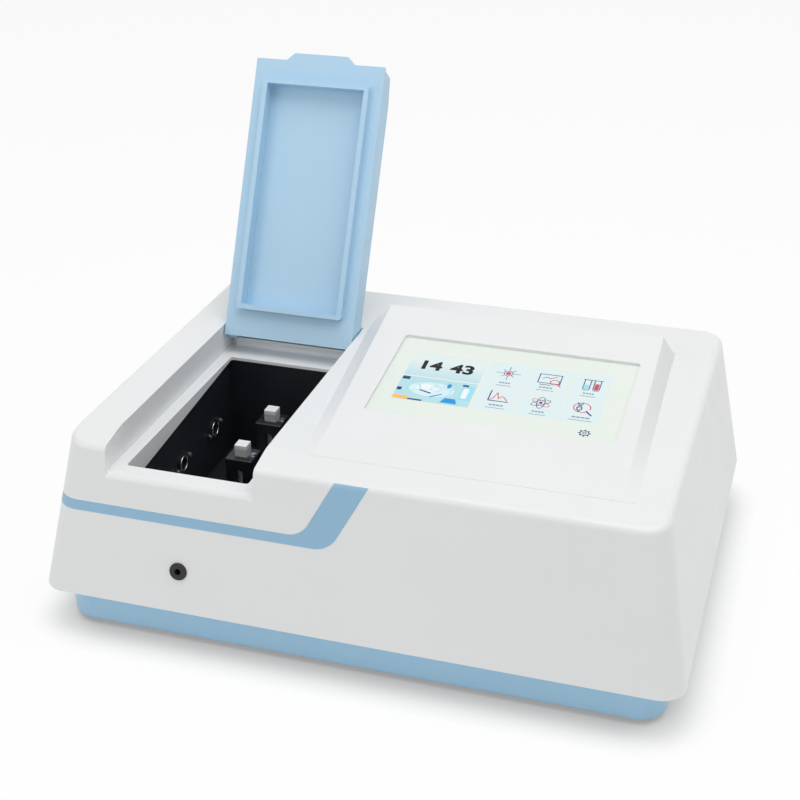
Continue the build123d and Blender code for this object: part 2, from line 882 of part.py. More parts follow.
with BuildPart() as chamber_liner:
    with BuildSketch(Plane.XY.offset(bench_top)):
        with Locations((bay_x, opening_y)):
            Rectangle(liner_inner_width + 2 * liner_wall, liner_inner_length + 2 * liner_wall)
    extrude(amount=liner_top - bench_top)
    with BuildSketch(Plane.XY.offset(chamber_floor)):
        with Locations((bay_x, opening_y)):
            Rectangle(liner_inner_width, liner_inner_length)
    extrude(amount=liner_top, mode=Mode.SUBTRACT)
    for plane in port_planes:
        with BuildSketch(plane):
            Circle(port_radius)
            with Locations(*ear_spots(ear_turn)):
                Circle(small_screw_radius)
        extrude(amount=-2 * liner_wall, mode=Mode.SUBTRACT)
    with BuildSketch(rod_plane):
        Circle(rod_port_bore + seat_gap)
    extrude(amount=front_at(rod_port_height) - opening_front, mode=Mode.SUBTRACT)
save(chamber_liner, "chamber_liner")


def port_cell(plane):
    """A flanged cell, screwed to the chamber wall, with a shouldered seat for its glass."""
    with BuildPart() as cell:
        with BuildSketch(plane):
            Circle(cell_flange_radius)
            with Locations(*ear_spots(ear_turn)):
                Circle(cell_ear_radius)
            with Locations((0, 0)):
                Rectangle(2 * cell_ear, cell_ear_radius, rotation=cell_ear_tilt)
        extrude(amount=cell_flange)
        with BuildSketch(plane):
            Circle(cell_neck_radius)
        extrude(amount=-cell_neck)
        with BuildSketch(plane.offset(-cell_neck)):
            Circle(lens_radius - lens_bulge)
        extrude(amount=2 * cell_neck, mode=Mode.SUBTRACT)
        with BuildSketch(plane.offset(-cell_neck / 2)):
            Circle(lens_radius + running_fit)
        extrude(amount=cell_neck, mode=Mode.SUBTRACT)
        with BuildSketch(plane):
            with Locations(*ear_spots(ear_turn)):
                Circle(small_screw_radius)
        extrude(amount=cell_flange, mode=Mode.SUBTRACT)
    return cell


save(port_cell(left_port(sample_y)), "sample_lens_cell")
save(port_cell(left_port(reference_y)), "reference_lens_cell")

with BuildPart() as window_cells:
    for y in beam_ys:
        add(port_cell(right_port(y)).part)
save(window_cells, "window_cells")

bulge_radius = (lens_radius**2 + lens_bulge**2) / (2 * lens_bulge)
with BuildPart() as lenses:
    for y in beam_ys:
        seat = left_port(y).offset(-cell_neck / 2)
        side_view = Plane(origin=seat.origin, x_dir=(0, 0, 1), z_dir=(0, 1, 0))
        with BuildSketch(side_view):
            with BuildLine():
                Polyline((0, 0), (lens_radius, 0), (lens_radius, lens_edge))
                RadiusArc((lens_radius, lens_edge), (0, lens_edge + lens_bulge), -bulge_radius)
                Line((0, lens_edge + lens_bulge), (0, 0))
            make_face()
        revolve(axis=Axis(seat.origin, (1, 0, 0)))
save(lenses, "lenses")

with BuildPart() as windows:
    for y in beam_ys:
        with BuildSketch(right_port(y).offset(-cell_neck / 2)):
            Circle(lens_radius)
        extrude(amount=lens_edge / 2)
save(windows, "windows")

# Cuvette holders
holder_base_width = 70.0
holder_base_depth = 125.0
holder_foot = chamber_floor + holder_plate
well_side = cuvette_side + 2 * well_clearance
clip_x = cuvette_side / 2 + clip_thickness
with BuildPart() as holder_base:
    with BuildSketch(Plane.XY.offset(chamber_floor)):
        with Locations((cell_x, (sample_y + reference_y) / 2)):
            RectangleRounded(holder_base_width, holder_base_depth, holder_plate)
    extrude(amount=holder_plate)
save(holder_base, "holder_base")


def cuvette_holder(y):
    """A block with a square well, light slots across it and an arched window in its front."""
    with BuildPart() as holder:
        with BuildSketch(Plane.XY.offset(holder_foot)):
            with Locations((cell_x, y)):
                RectangleRounded(holder_width, holder_depth, 1.5)
        extrude(amount=holder_top - holder_foot)
        chamfer(holder.faces().sort_by(Axis.Z)[-1].edges(), 0.8)
        with BuildSketch(Plane.XY.offset(cuvette_base)):
            with Locations((cell_x, y)):
                Rectangle(well_side, well_side)
        extrude(amount=holder_top, mode=Mode.SUBTRACT)
        slot_height = aperture_high - aperture_low
        slot_middle = (aperture_high + aperture_low) / 2
        with BuildSketch(x_plane(cell_x - holder_width, y, slot_middle)):
            SlotOverall(slot_height, aperture_width, rotation=90)
        extrude(amount=2 * holder_width, mode=Mode.SUBTRACT)
        with BuildSketch(y_plane(cell_x, y - holder_depth, slot_middle)):
            SlotOverall(slot_height, aperture_width, rotation=90)
        extrude(amount=holder_depth, mode=Mode.SUBTRACT)
        slot_reach = 2 * clip_thickness + 4 * well_clearance
        with BuildSketch(Plane.XY.offset(holder_top - clip_drop - 1)):
            with Locations((cell_x + well_side / 2 + slot_reach / 2, y)):
                Rectangle(slot_reach, clip_width + 4 * well_clearance)
        extrude(amount=holder_top, mode=Mode.SUBTRACT)
        with Locations((cell_x + clip_screw_x, y, holder_top)):
            Hole(small_screw_radius, 3 * small_head_radius)
    return holder


save(cuvette_holder(sample_y), "sample_holder")
save(cuvette_holder(reference_y), "reference_holder")

with BuildPart() as cuvette_clips:
    leaf_x = clip_x + clip_thickness
    for y in beam_ys:
        clip_end = (cell_x, y + clip_width / 2, holder_top)
        with BuildSketch(Plane(origin=clip_end, x_dir=(1, 0, 0), z_dir=(0, -1, 0))):
            Polygon(
                (leaf_x, clip_thickness),
                (leaf_x, -clip_drop),
                (leaf_x + clip_thickness, -clip_drop),
                (leaf_x + clip_thickness, 0),
                (holder_width / 2 - 1, 0),
                (holder_width / 2 - 1, clip_thickness),
                align=None,
            )
        extrude(amount=clip_width)
        with BuildSketch(Plane.XY.offset(holder_top)):
            with Locations((cell_x + clip_screw_x, y)):
                Circle(small_screw_radius)
        extrude(amount=clip_thickness, mode=Mode.SUBTRACT)
save(cuvette_clips, "cuvette_clips")

# Cuvettes and their caps
for name, y in (("sample_cuvette", sample_y), ("reference_cuvette", reference_y)):
    with BuildPart() as glass_cell:
        with BuildSketch(Plane.XY.offset(cuvette_base + running_fit)):
            with Locations((cell_x, y)):
                Rectangle(cuvette_side, cuvette_side)
        extrude(amount=cuvette_height)
        fillet(glass_cell.edges().filter_by(Axis.Z), cuvette_wall / 2)
        with BuildSketch(Plane.XY.offset(cuvette_base + running_fit + cuvette_floor)):
            with Locations((cell_x, y)):
                Rectangle(cuvette_side - 2 * cuvette_wall, cuvette_side - 2 * cuvette_wall)
        extrude(amount=cuvette_height, mode=Mode.SUBTRACT)
    save(glass_cell, name)

cap_seat = cuvette_base + cuvette_height + 2 * running_fit
for name, y in (("sample_cap", sample_y), ("reference_cap", reference_y)):
    with BuildPart() as cap:
        with BuildSketch(Plane.XY.offset(cap_seat)):
            with Locations((cell_x, y)):
                Rectangle(cuvette_side, cuvette_side)
        extrude(amount=cap_height)
        fillet(cap.edges().filter_by(Axis.Z), cuvette_wall / 2)
        fillet(cap.faces().sort_by(Axis.Z)[-1].edges(), cuvette_wall / 3)
        plug_side = cuvette_side - 2 * cuvette_wall - 2 * well_clearance
        with BuildSketch(Plane.XY.offset(cap_seat - cap_plug)):
            with Locations((cell_x, y)):
                Rectangle(plug_side, plug_side)
        extrude(amount=cap_plug)
    save(cap, name)

# Rod port grommet
with BuildPart() as rod_port_grommet:
    with BuildSketch(rod_plane):
        Circle(rod_port_flange)
    extrude(amount=rod_port_lip)
    fillet(rod_port_grommet.edges().filter_by(GeomType.CIRCLE).sort_by(Axis.Y)[0], rod_port_lip / 2)
    with BuildSketch(rod_plane):
        Circle(rod_port_neck - running_fit)
    extrude(amount=-(wall + rod_port_lip + seat_gap))
    with BuildSketch(rod_plane.offset(-wall - seat_gap)):
        Circle(rod_port_neck + rod_port_lip / 2)
    extrude(amount=-rod_port_lip)
    with BuildSketch(rod_plane.offset(2 * rod_port_lip)):
        Circle(rod_port_bore)
    extrude(amount=-(wall + 6 * rod_port_lip), mode=Mode.SUBTRACT)
save(rod_port_grommet, "rod_port_grommet")

# Optical bench on its soft bushes
bench_left = bay_x - 110
bench_right = mono_right + 18
bench_half_depth = post_y - post_radius - 3
bench_nose_y = opening_front - 12
bench_nose_width = opening_width + 22
bench_tail_y = fan_y + fan_thickness + 3
bench_tail_width = 150.0
bench_corner = 8.0
bush_radius = 12.0
bush_bore = 2.5
bush_margin_x = 30.0
bush_margin_y = 26.0
bush_xs = (bench_left + bush_margin_x, bench_right - bush_margin_x)
bush_y = bench_half_depth - bush_margin_y
bush_spots = [(x, side * bush_y) for x in bush_xs for side in (-1, 1)]
boss_radius = 11.0

with BuildPart() as optical_bench:
    with BuildSketch(Plane.XY.offset(bench_base)):
        with Locations(((bench_left + bench_right) / 2, 0)):
            RectangleRounded(bench_right - bench_left, 2 * bench_half_depth, bench_corner)
        with Locations((bay_x, bench_nose_y / 2)):
            RectangleRounded(bench_nose_width, -bench_nose_y, bench_corner)
        with Locations((fan_x, bench_tail_y / 2)):
            RectangleRounded(bench_tail_width, bench_tail_y, bench_corner)
        with Locations((grating_x, grating_y)):
            Circle(boss_radius + seat_gap, mode=Mode.SUBTRACT)
        with Locations(*bush_spots):
            Circle(bush_bore, mode=Mode.SUBTRACT)
    extrude(amount=bench_thickness)
    chamfer(optical_bench.faces().sort_by(Axis.Z)[-1].outer_wire().edges(), 0.8)
save(optical_bench, "optical_bench")

bush_waist = 8.0
with BuildPart() as bench_mounts:
    with BuildSketch(Plane.XY.offset(tray_floor_top)):
        with Locations(*bush_spots):
            Circle(bush_radius)
            Circle(bush_bore, mode=Mode.SUBTRACT)
    extrude(amount=bench_base - tray_floor_top)
    for x, y in bush_spots:
        bush_middle = (x, y, (tray_floor_top + bench_base) / 2)
        with BuildSketch(Plane(origin=bush_middle, x_dir=(1, 0, 0), z_dir=(0, -1, 0))):
            with Locations((bush_radius + bush_waist / 2, 0)):
                Circle(bush_waist)
        revolve(axis=Axis(bush_middle, (0, 0, 1)), mode=Mode.SUBTRACT)
save(bench_mounts, "bench_mounts")

# Monochromator
mono_x = mono_left + mono_size / 2
mono_y = mono_front + mono_size / 2
mono_floor = bench_top + mono_wall
slit_seat = 3.0
beam_hole = 6.0
spindle_clear = 4.0
entrance_face = y_plane(entrance_x, mono_rear, beam_height)
exit_face = Plane(origin=(mono_left, sample_y, beam_height), x_dir=(0, -1, 0), z_dir=(-1, 0, 0))

with BuildPart() as monochromator_housing:
    with BuildSketch(Plane.XY.offset(bench_top)):
        with Locations((mono_x, mono_y)):
            RectangleRounded(mono_size, mono_size, mono_wall)
    extrude(amount=mono_top - bench_top)
    with BuildSketch(Plane.XY.offset(mono_floor)):
        with Locations((mono_x, mono_y)):
            RectangleRounded(mono_size - 2 * mono_wall, mono_size - 2 * mono_wall, mono_wall / 2)
    extrude(amount=mono_top, mode=Mode.SUBTRACT)
    with BuildSketch(Plane.XY.offset(bench_top)):
        with Locations((grating_x, grating_y)):
            Circle(spindle_clear)
    extrude(amount=mono_wall, mode=Mode.SUBTRACT)
    for face in (entrance_face, exit_face):
        with BuildSketch(face):
            Circle(beam_hole)
        extrude(amount=-2 * mono_wall, mode=Mode.SUBTRACT)
        with BuildSketch(face):
            Circle(slit_radius + running_fit)
        extrude(amount=-slit_seat, mode=Mode.SUBTRACT)
save(monochromator_housing, "monochromator_housing")

with BuildPart() as monochromator_cover:
    with BuildSketch(Plane.XY.offset(mono_top)):
        with Locations((mono_x, mono_y)):
            RectangleRounded(mono_size, mono_size, mono_wall)
            with GridLocations(mono_size - mono_wall, mono_size - mono_wall, 2, 2):
                Circle(small_screw_radius, mode=Mode.SUBTRACT)
    extrude(amount=mono_cover)
    chamfer(monochromator_cover.faces().sort_by(Axis.Z)[-1].outer_wire().edges(), 1.0)
save(monochromator_cover, "monochromator_cover")

with BuildPart() as slits:
    for face in (entrance_face, exit_face):
        with BuildSketch(face):
            Circle(slit_radius)
            Rectangle(1.2, beam_hole * 1.5, mode=Mode.SUBTRACT)
        extrude(amount=-slit_seat)
save(slits, "slits")

# Grating on its turntable
table_low = beam_height - 28
table_high = beam_height - 20
spindle_low = bench_base - 22
grating_size = 30.0
grating_thickness = 6.0
grating_turn = -7.6
motor_low = bench_base - motor_height

with BuildPart() as grating_turntable:
    with BuildSketch(Plane.XY.offset(table_low)):
        with Locations((grating_x, grating_y)):
            Circle(turntable_radius)
    extrude(amount=table_high - table_low)
    chamfer(grating_turntable.edges(), 1.0)
    with BuildSketch(Plane.XY.offset(spindle_low)):
        with Locations((grating_x, grating_y)):
            Circle(spindle_radius)
    extrude(amount=table_low - spindle_low + 1)
    with BuildSketch(Plane.XY.offset(mono_floor + 1)):
        with Locations((grating_x, grating_y)):
            Circle(2 * spindle_radius)
    extrude(amount=table_low - mono_floor - 1)
save(grating_turntable, "grating_turntable")

with BuildPart() as grating:
    with BuildSketch(Plane.XY.offset(table_high)):
        with Locations(Location((grating_x, grating_y, 0), (0, 0, grating_turn))):
            with Locations((0, grating_thickness / 2)):
                Rectangle(grating_size, grating_thickness)
    extrude(amount=grating_size)
    chamfer(grating.edges().filter_by(Axis.Z), 0.6)
save(grating, "grating")

with BuildPart() as grating_motor:
    with BuildSketch(Plane.XY.offset(motor_low)):
        with Locations((grating_x, grating_y)):
            Rectangle(motor_side, motor_side)
    extrude(amount=motor_height)
    chamfer(grating_motor.edges().filter_by(Axis.Z), 4.0)
    with BuildSketch(Plane.XY.offset(bench_base)):
        with Locations((grating_x, grating_y)):
            Circle(boss_radius)
    extrude(amount=bench_thickness - 2)
    with BuildSketch(Plane.XY.offset(motor_low + 4)):
        with Locations((grating_x, grating_y)):
            Circle(spindle_radius + running_fit)
    extrude(amount=motor_height + bench_thickness, mode=Mode.SUBTRACT)
save(grating_motor, "grating_motor")


# Mirrors on posts
mirror_thickness = 6.0
post_side = 8.0
post_foot = 10.0


def mirror_on_post(x, y, facing, radius):
    """A round mirror with its face at a place, and the post it stands on."""
    normal = (cos(facing), sin(facing), 0)
    behind = mirror_thickness + post_side / 2 - 1
    post_x_here = x - behind * normal[0]
    post_y_here = y - behind * normal[1]
    with BuildPart() as mirror_post:
        with BuildSketch(Plane(origin=(x, y, beam_height), x_dir=(0, 0, 1), z_dir=normal)):
            Circle(radius)
        extrude(amount=-mirror_thickness)
        add(rod(Plane(origin=(post_x_here, post_y_here, mono_floor)), post_foot, post_side / 2))
        add(rod(Plane(origin=(post_x_here, post_y_here, mono_floor)), post_side / 2, beam_height - mono_floor))
    return mirror_post


collimator_spot = (entrance_x, mono_front + collimator_inset)
focuser_spot = (mono_left + focuser_inset, sample_y)
mirror_radius = 14.0


def facing_between(spot, first, second):
    """The direction midway between two targets, as seen from a place."""
    first_length = hypot(first[0] - spot[0], first[1] - spot[1])
    second_length = hypot(second[0] - spot[0], second[1] - spot[1])
    across = (first[0] - spot[0]) / first_length + (second[0] - spot[0]) / second_length
    along = (first[1] - spot[1]) / first_length + (second[1] - spot[1]) / second_length
    return atan2(along, across)


grating_spot = (grating_x, grating_y)
collimator_facing = facing_between(collimator_spot, (entrance_x, mono_rear), grating_spot)
focuser_facing = facing_between(focuser_spot, (mono_left, sample_y), grating_spot)
save(mirror_on_post(*collimator_spot, collimator_facing, mirror_radius), "collimating_mirror")
save(mirror_on_post(*focuser_spot, focuser_facing, mirror_radius), "focusing_mirror")

# Filter wheel
wheel_x = entrance_x + wheel_pitch
wheel_face = y_plane(wheel_x, wheel_y - wheel_thickness / 2, beam_height)
wheel_hub = 5.0
hub_reach = 1.5
filter_motor_radius = 12.0
filter_motor_length = 22.0
filter_motor_front = wheel_y - wheel_thickness / 2 - hub_reach - filter_motor_length - seat_gap
axle_length = 15.0
filter_ledge = 1.0
motor_foot_width = 40.0
motor_foot_depth = 16.0
motor_foot_height = 3.0
motor_stem = 12.0

with BuildPart() as filter_wheel:
    with BuildSketch(wheel_face):
        Circle(wheel_radius)
    extrude(amount=wheel_thickness)
    with BuildSketch(wheel_face):
        Circle(wheel_hub)
    extrude(amount=-hub_reach)
    with BuildSketch(wheel_face):
        Circle(axle_radius)
    extrude(amount=-axle_length)
    with BuildSketch(wheel_face):
        with PolarLocations(wheel_pitch, filter_count):
            Circle(filter_radius - filter_ledge)
    extrude(amount=wheel_thickness, mode=Mode.SUBTRACT)
    with BuildSketch(wheel_face.offset(filter_ledge)):
        with PolarLocations(wheel_pitch, filter_count):
            Circle(filter_radius + running_fit)
    extrude(amount=wheel_thickness, mode=Mode.SUBTRACT)
save(filter_wheel, "filter_wheel")

filter_step = 360 / filter_count
with BuildPart() as order_filters:
    with BuildSketch(wheel_face.offset(filter_ledge)):
        with PolarLocations(wheel_pitch, filter_count - 1, filter_step, 360 - filter_step):
            Circle(filter_radius)
    extrude(amount=wheel_thickness - filter_ledge)
save(order_filters, "order_filters")

with BuildPart() as filter_motor:
    with BuildSketch(y_plane(wheel_x, filter_motor_front, beam_height)):
        Circle(filter_motor_radius)
    extrude(amount=filter_motor_length)
    chamfer(filter_motor.edges(), 1.0)
    foot_middle = filter_motor_front + filter_motor_length / 2
    foot_top = mono_floor + motor_foot_height
    add(block(wheel_x, foot_middle, mono_floor, foot_top, motor_foot_width, motor_foot_depth, 2.0))
    add(block(wheel_x, foot_middle, mono_floor, beam_height - filter_motor_radius / 2, motor_stem, motor_stem))
    with BuildSketch(wheel_face):
        Circle(axle_radius + running_fit)
    extrude(amount=-axle_length - 2, mode=Mode.SUBTRACT)
save(filter_motor, "filter_motor")

# Plates that share the light between the two beams
plate_side = 20.0
stand_foot = 8.0
stand_radius = 4.0


def plate_on_stand(x, y, thickness):
    """A square plate at 45 degrees to the beam, on a round stand."""
    plate_low = beam_height - plate_side / 2
    with BuildPart() as stand:
        add(rod(Plane(origin=(x, y, bench_top)), stand_foot, 3.0))
        add(rod(Plane(origin=(x, y, bench_top)), stand_radius, plate_low + 3 - bench_top))
        with BuildSketch(Plane.XY.offset(plate_low)):
            with Locations(Location((x, y, 0), (0, 0, 45))):
                Rectangle(plate_side, thickness)
        extrude(amount=plate_side)
    return stand


save(plate_on_stand(splitter_x, sample_y, 1.2), "beam_splitter")
save(plate_on_stand(splitter_x, reference_y, 3.0), "fold_mirror")

# Detectors
detector_radius = 9.0
detector_collar = 11.0
detector_gap = 3.0
detector_length = 28.0
bracket_setback = 8.0
bracket_plate = 2.0
bracket_depth = 24.0
detector_front = liner_left - cell_neck - detector_gap
detector_rear = detector_front - detector_length
bracket_x = detector_front - bracket_setback
bracket_back = bracket_x - bracket_depth
bracket_middle = (sample_y + reference_y) / 2
bracket_length = beam_spacing + 48
bracket_high = beam_height + 18

with BuildPart() as detector_bracket:
    with BuildSketch(Plane.XY.offset(bench_top)):
        with Locations(((bracket_back + bracket_x) / 2, bracket_middle)):
            Rectangle(bracket_x - bracket_back, bracket_length)
    extrude(amount=bracket_plate)
    with BuildSketch(Plane.XY.offset(bench_top)):
        with Locations((bracket_x - bracket_plate / 2, bracket_middle)):
            Rectangle(bracket_plate, bracket_length)
    extrude(amount=bracket_high - bench_top)
    for y in beam_ys:
        with BuildSketch(x_plane(bracket_back, y, beam_height)):
            Circle(detector_radius + running_fit)
        extrude(amount=bracket_x - bracket_back, mode=Mode.SUBTRACT)
save(detector_bracket, "detector_bracket")

with BuildPart() as detectors:
    for y in beam_ys:
        with BuildSketch(x_plane(detector_rear, y, beam_height)):
            Circle(detector_radius)
        extrude(amount=detector_front - detector_rear)
        with BuildSketch(x_plane(bracket_x, y, beam_height)):
            Circle(detector_collar)
        extrude(amount=2.0)
        with BuildSketch(x_plane(detector_front, y, beam_height)):
            Circle(detector_radius - 2)
        extrude(amount=-3.0, mode=Mode.SUBTRACT)
save(detectors, "detectors")

# Lamp house, its two lamps and the mirror that picks one
house_width = lamp_house_right - lamp_house_left
house_depth = lamp_house_rear - lamp_house_front
house_x = (lamp_house_left + lamp_house_right) / 2
house_y = (lamp_house_front + lamp_house_rear) / 2

with BuildPart() as lamp_house:
    add(block(house_x, house_y, bench_top, lamp_house_top, house_width, house_depth, 3.0))
    inner_width = house_width - 2 * sheet
    inner_depth = house_depth - 2 * sheet
    roof = lamp_house_top - sheet
    add(block(house_x, house_y, bench_top, roof, inner_width, inner_depth, 1.5), mode=Mode.SUBTRACT)
    with BuildSketch(y_plane(entrance_x, lamp_house_front - 1, beam_height)):
        Circle(slit_radius)
    extrude(amount=sheet + 2, mode=Mode.SUBTRACT)
    with BuildSketch(y_plane(fan_x, lamp_house_rear - sheet - 1, fan_height)):
        with GridLocations(0, vent_pitch, 1, vent_count):
            SlotOverall(fan_side - 10, vent_width)
    extrude(amount=sheet + 2, mode=Mode.SUBTRACT)
    with BuildSketch(x_plane(lamp_house_left - 1, house_y, fan_height)):
        with GridLocations(vent_pitch, 0, vent_count, 1):
            SlotOverall(fan_side - 10, vent_width, rotation=90)
    extrude(amount=house_width + 2, mode=Mode.SUBTRACT)
save(lamp_house, "lamp_house")

deuterium_base = beam_height - 30
deuterium_top = beam_height + 20
deuterium_radius = 14.0
with BuildPart() as deuterium_lamp:
    add(rod(Plane(origin=(deuterium_x, source_y, bench_top)), deuterium_radius + 3, 4.0))
    add(rod(Plane(origin=(deuterium_x, source_y, bench_top)), deuterium_radius - 2, deuterium_base - bench_top + 1))
    with BuildSketch(Plane.XY.offset(deuterium_base)):
        with Locations((deuterium_x, source_y)):
            Circle(deuterium_radius)
    extrude(amount=deuterium_top - deuterium_base)
    fillet(deuterium_lamp.faces().sort_by(Axis.Z)[-1].edges(), deuterium_radius / 2)
save(deuterium_lamp, "deuterium_lamp")

tungsten_base = beam_height - 18
tungsten_top = beam_height + 10
tungsten_radius = 6.0
with BuildPart() as tungsten_lamp:
    add(rod(Plane(origin=(tungsten_x, source_y, bench_top)), 2 * tungsten_radius, 4.0))
    add(rod(Plane(origin=(tungsten_x, source_y, bench_top)), tungsten_radius + 2, tungsten_base - bench_top))
    with BuildSketch(Plane.XY.offset(tungsten_base)):
        with Locations((tungsten_x, source_y)):
            Circle(tungsten_radius)
    extrude(amount=tungsten_top - tungsten_base)
    fillet(tungsten_lamp.faces().sort_by(Axis.Z)[-1].edges(), tungsten_radius * 0.8)
save(tungsten_lamp, "tungsten_lamp")

source_motor_side = 24.0
source_motor_top = beam_height - 28
source_spindle_low = beam_height - 42
source_table_low = beam_height - 16
source_mirror_width = 22.0
with BuildPart() as source_mirror_motor:
    add(block(entrance_x, source_y, bench_top, source_motor_top, source_motor_side, source_motor_side, 2.0))
    with BuildSketch(Plane.XY.offset(source_spindle_low - 2)):
        with Locations((entrance_x, source_y)):
            Circle(axle_radius + running_fit)
    extrude(amount=source_motor_top, mode=Mode.SUBTRACT)
save(source_mirror_motor, "source_mirror_motor")

with BuildPart() as source_mirror:
    add(rod(Plane(origin=(entrance_x, source_y, source_spindle_low)), axle_radius, 28.0))
    add(rod(Plane(origin=(entrance_x, source_y, source_table_low)), 3 * axle_radius, 4.0))
    with BuildSketch(Plane.XY.offset(source_table_low + 3)):
        with Locations(Location((entrance_x, source_y, 0), (0, 0, 45))):
            with Locations((0, 1.5)):
                Rectangle(source_mirror_width, 3.0)
    extrude(amount=2 * (beam_height - source_table_low - 3))
save(source_mirror, "source_mirror")

# Cooling fan
fan_opening = 28.0
fan_hub = 9.0
blade_reach = 26.5
blade_count = 7
fan_face = y_plane(fan_x, fan_y, fan_height)
spoke_thickness = 2.5

with BuildPart() as fan_frame:
    with BuildSketch(fan_face):
        RectangleRounded(fan_side, fan_side, 4.0)
        Circle(fan_opening, mode=Mode.SUBTRACT)
        with GridLocations(50.0, 50.0, 2, 2):
            Circle(2.0, mode=Mode.SUBTRACT)
    extrude(amount=fan_thickness)
    with BuildSketch(fan_face):
        Circle(fan_hub)
        Rectangle(2 * fan_opening + 2, 2.5, rotation=45)
        Rectangle(2 * fan_opening + 2, 2.5, rotation=-45)
    extrude(amount=spoke_thickness)
    fan_low = fan_height - fan_side / 2
    for side in (-1, 1):
        foot_x_here = fan_x + side * (fan_side / 2 - 8)
        add(block(foot_x_here, fan_y + fan_thickness / 2, bench_top, fan_low + 1, 12.0, fan_thickness))
    with BuildSketch(fan_face):
        Circle(axle_radius + running_fit)
    extrude(amount=spoke_thickness, mode=Mode.SUBTRACT)
save(fan_frame, "fan_frame")

rotor_face = fan_face.offset(spoke_thickness + seat_gap)
with BuildPart() as fan_rotor:
    with BuildSketch(rotor_face):
        Circle(fan_hub)
    extrude(amount=10.0)
    with BuildSketch(rotor_face):
        Circle(axle_radius)
    extrude(amount=-spoke_thickness)
    for index in range(blade_count):
        turn = 360.0 / blade_count * index
        outward = (cos(radians(turn)), 0, sin(radians(turn)))
        middle = rotor_face.origin + Vector(0, 5.0, 0)
        with BuildSketch(Plane(origin=middle, x_dir=(0, 1, 0), z_dir=outward)):
            Rectangle(11.0, 1.2, rotation=35)
        extrude(amount=blade_reach)
save(fan_rotor, "fan_rotor")

# Electronics on the tray floor
supply_margin_x = 80.0
supply_margin_y = 122.0
supply_x = half_width - supply_margin_x
supply_y = half_depth - supply_margin_y
supply_width = 110.0
supply_depth = 100.0
supply_height = 43.0
supply_slot = 30.0
board_margin = 167.0
board_y = board_margin - half_depth
board_length = 210.0
board_base = 20.0
board_thickness = 1.6

with BuildPart() as power_supply:
    supply_top = tray_floor_top + supply_height
    add(block(supply_x, supply_y, tray_floor_top, supply_top, supply_width, supply_depth, 2.0))
    inner_width = supply_width - 2 * sheet
    inner_depth = supply_depth - 2 * sheet
    supply_inner_low = tray_floor_top + sheet
    supply_inner_high = supply_top - sheet
    supply_hollow = block(supply_x, supply_y, supply_inner_low, supply_inner_high, inner_width, inner_depth)
    add(supply_hollow, mode=Mode.SUBTRACT)
    with BuildSketch(Plane.XY.offset(supply_top - sheet)):
        with Locations((supply_x, supply_y)):
            with GridLocations(vent_pitch + 1, supply_slot * 1.2, 10, 2):
                SlotOverall(supply_slot, vent_width, rotation=90)
    extrude(amount=sheet, mode=Mode.SUBTRACT)
save(power_supply, "power_supply")

with BuildPart() as mainboard:
    add(block(supply_x, board_y, board_base, board_base + board_thickness, supply_width, board_length, 2.0))
    with BuildSketch(Plane.XY.offset(tray_floor_top)):
        with Locations((supply_x, board_y)):
            with GridLocations(supply_width - 14, board_length / 2 - 7, 2, 3):
                Circle(3.0)
    extrude(amount=board_base - tray_floor_top)
    board_top = board_base + board_thickness
    chip_spots = [
        (-20.0, 20.0, 28.0, 28.0, 3.0),
        (25.0, 30.0, 14.0, 20.0, 2.0),
        (28.0, -10.0, 20.0, 9.0, 2.0),
        (-28.0, -30.0, 14.0, 14.0, 2.0),
        (10.0, -50.0, 34.0, 12.0, 8.0),
        (-30.0, 75.0, 30.0, 10.0, 9.0),
        (30.0, 75.0, 12.0, 16.0, 12.0),
    ]
    for along, up, width, depth, tall in chip_spots:
        add(block(supply_x + along, board_y + up, board_top, board_top + tall, width, depth))
save(mainboard, "mainboard")

# Display
panel_width = window_width + 2
panel_tall = window_height + 6
with BuildPart() as touch_glass:
    with BuildSketch(glass_plane.offset(-glass_top)):
        RectangleRounded(window_width + 2 * glass_margin, window_height + 2 * glass_margin, window_radius)
    extrude(amount=-glass_thickness)
save(touch_glass, "touch_glass")

with BuildPart() as lcd_panel:
    with BuildSketch(glass_plane.offset(-panel_top)):
        RectangleRounded(panel_width, panel_tall, 1.5)
    extrude(amount=-panel_thickness)
save(lcd_panel, "lcd_panel")

bracket_width = 2 * display_boss_x + 4 * display_boss_radius
bracket_tall = 2 * display_boss_v + 2 * display_boss_radius
bracket_bar = 20.0
cut_width = (bracket_width - 4 * bracket_bar) / 3
cut_tall = (bracket_tall - 3 * bracket_bar) / 2
with BuildPart() as display_bracket:
    with BuildSketch(glass_plane.offset(-bracket_top)):
        RectangleRounded(bracket_width, bracket_tall, 4.0)
        with GridLocations(cut_width + bracket_bar, cut_tall + bracket_bar, 3, 2):
            RectangleRounded(cut_width, cut_tall, 4.0, mode=Mode.SUBTRACT)
        with Locations(*display_spots):
            Circle(small_screw_radius, mode=Mode.SUBTRACT)
    extrude(amount=-bracket_thickness)
save(display_bracket, "display_bracket")

# Rear panel with the power inlet, the switch and the data ports
inlet_spot = (inlet_u, 0.0)
switch_spot = (switch_u, 0.0)
usb_gap = 16.0
usb_spots = [(usb_u, -usb_gap / 2), (usb_u, usb_gap / 2)]
inlet_flange = 2.0
inlet_lip = 2.2
inlet_back = 10.0
switch_width = 16.0
switch_tall = 27.0
switch_depth = 14.0
switch_lip = 2.0
usb_width = 14.5
usb_tall = 7.2
usb_depth = 14.0
usb_shell = 0.8

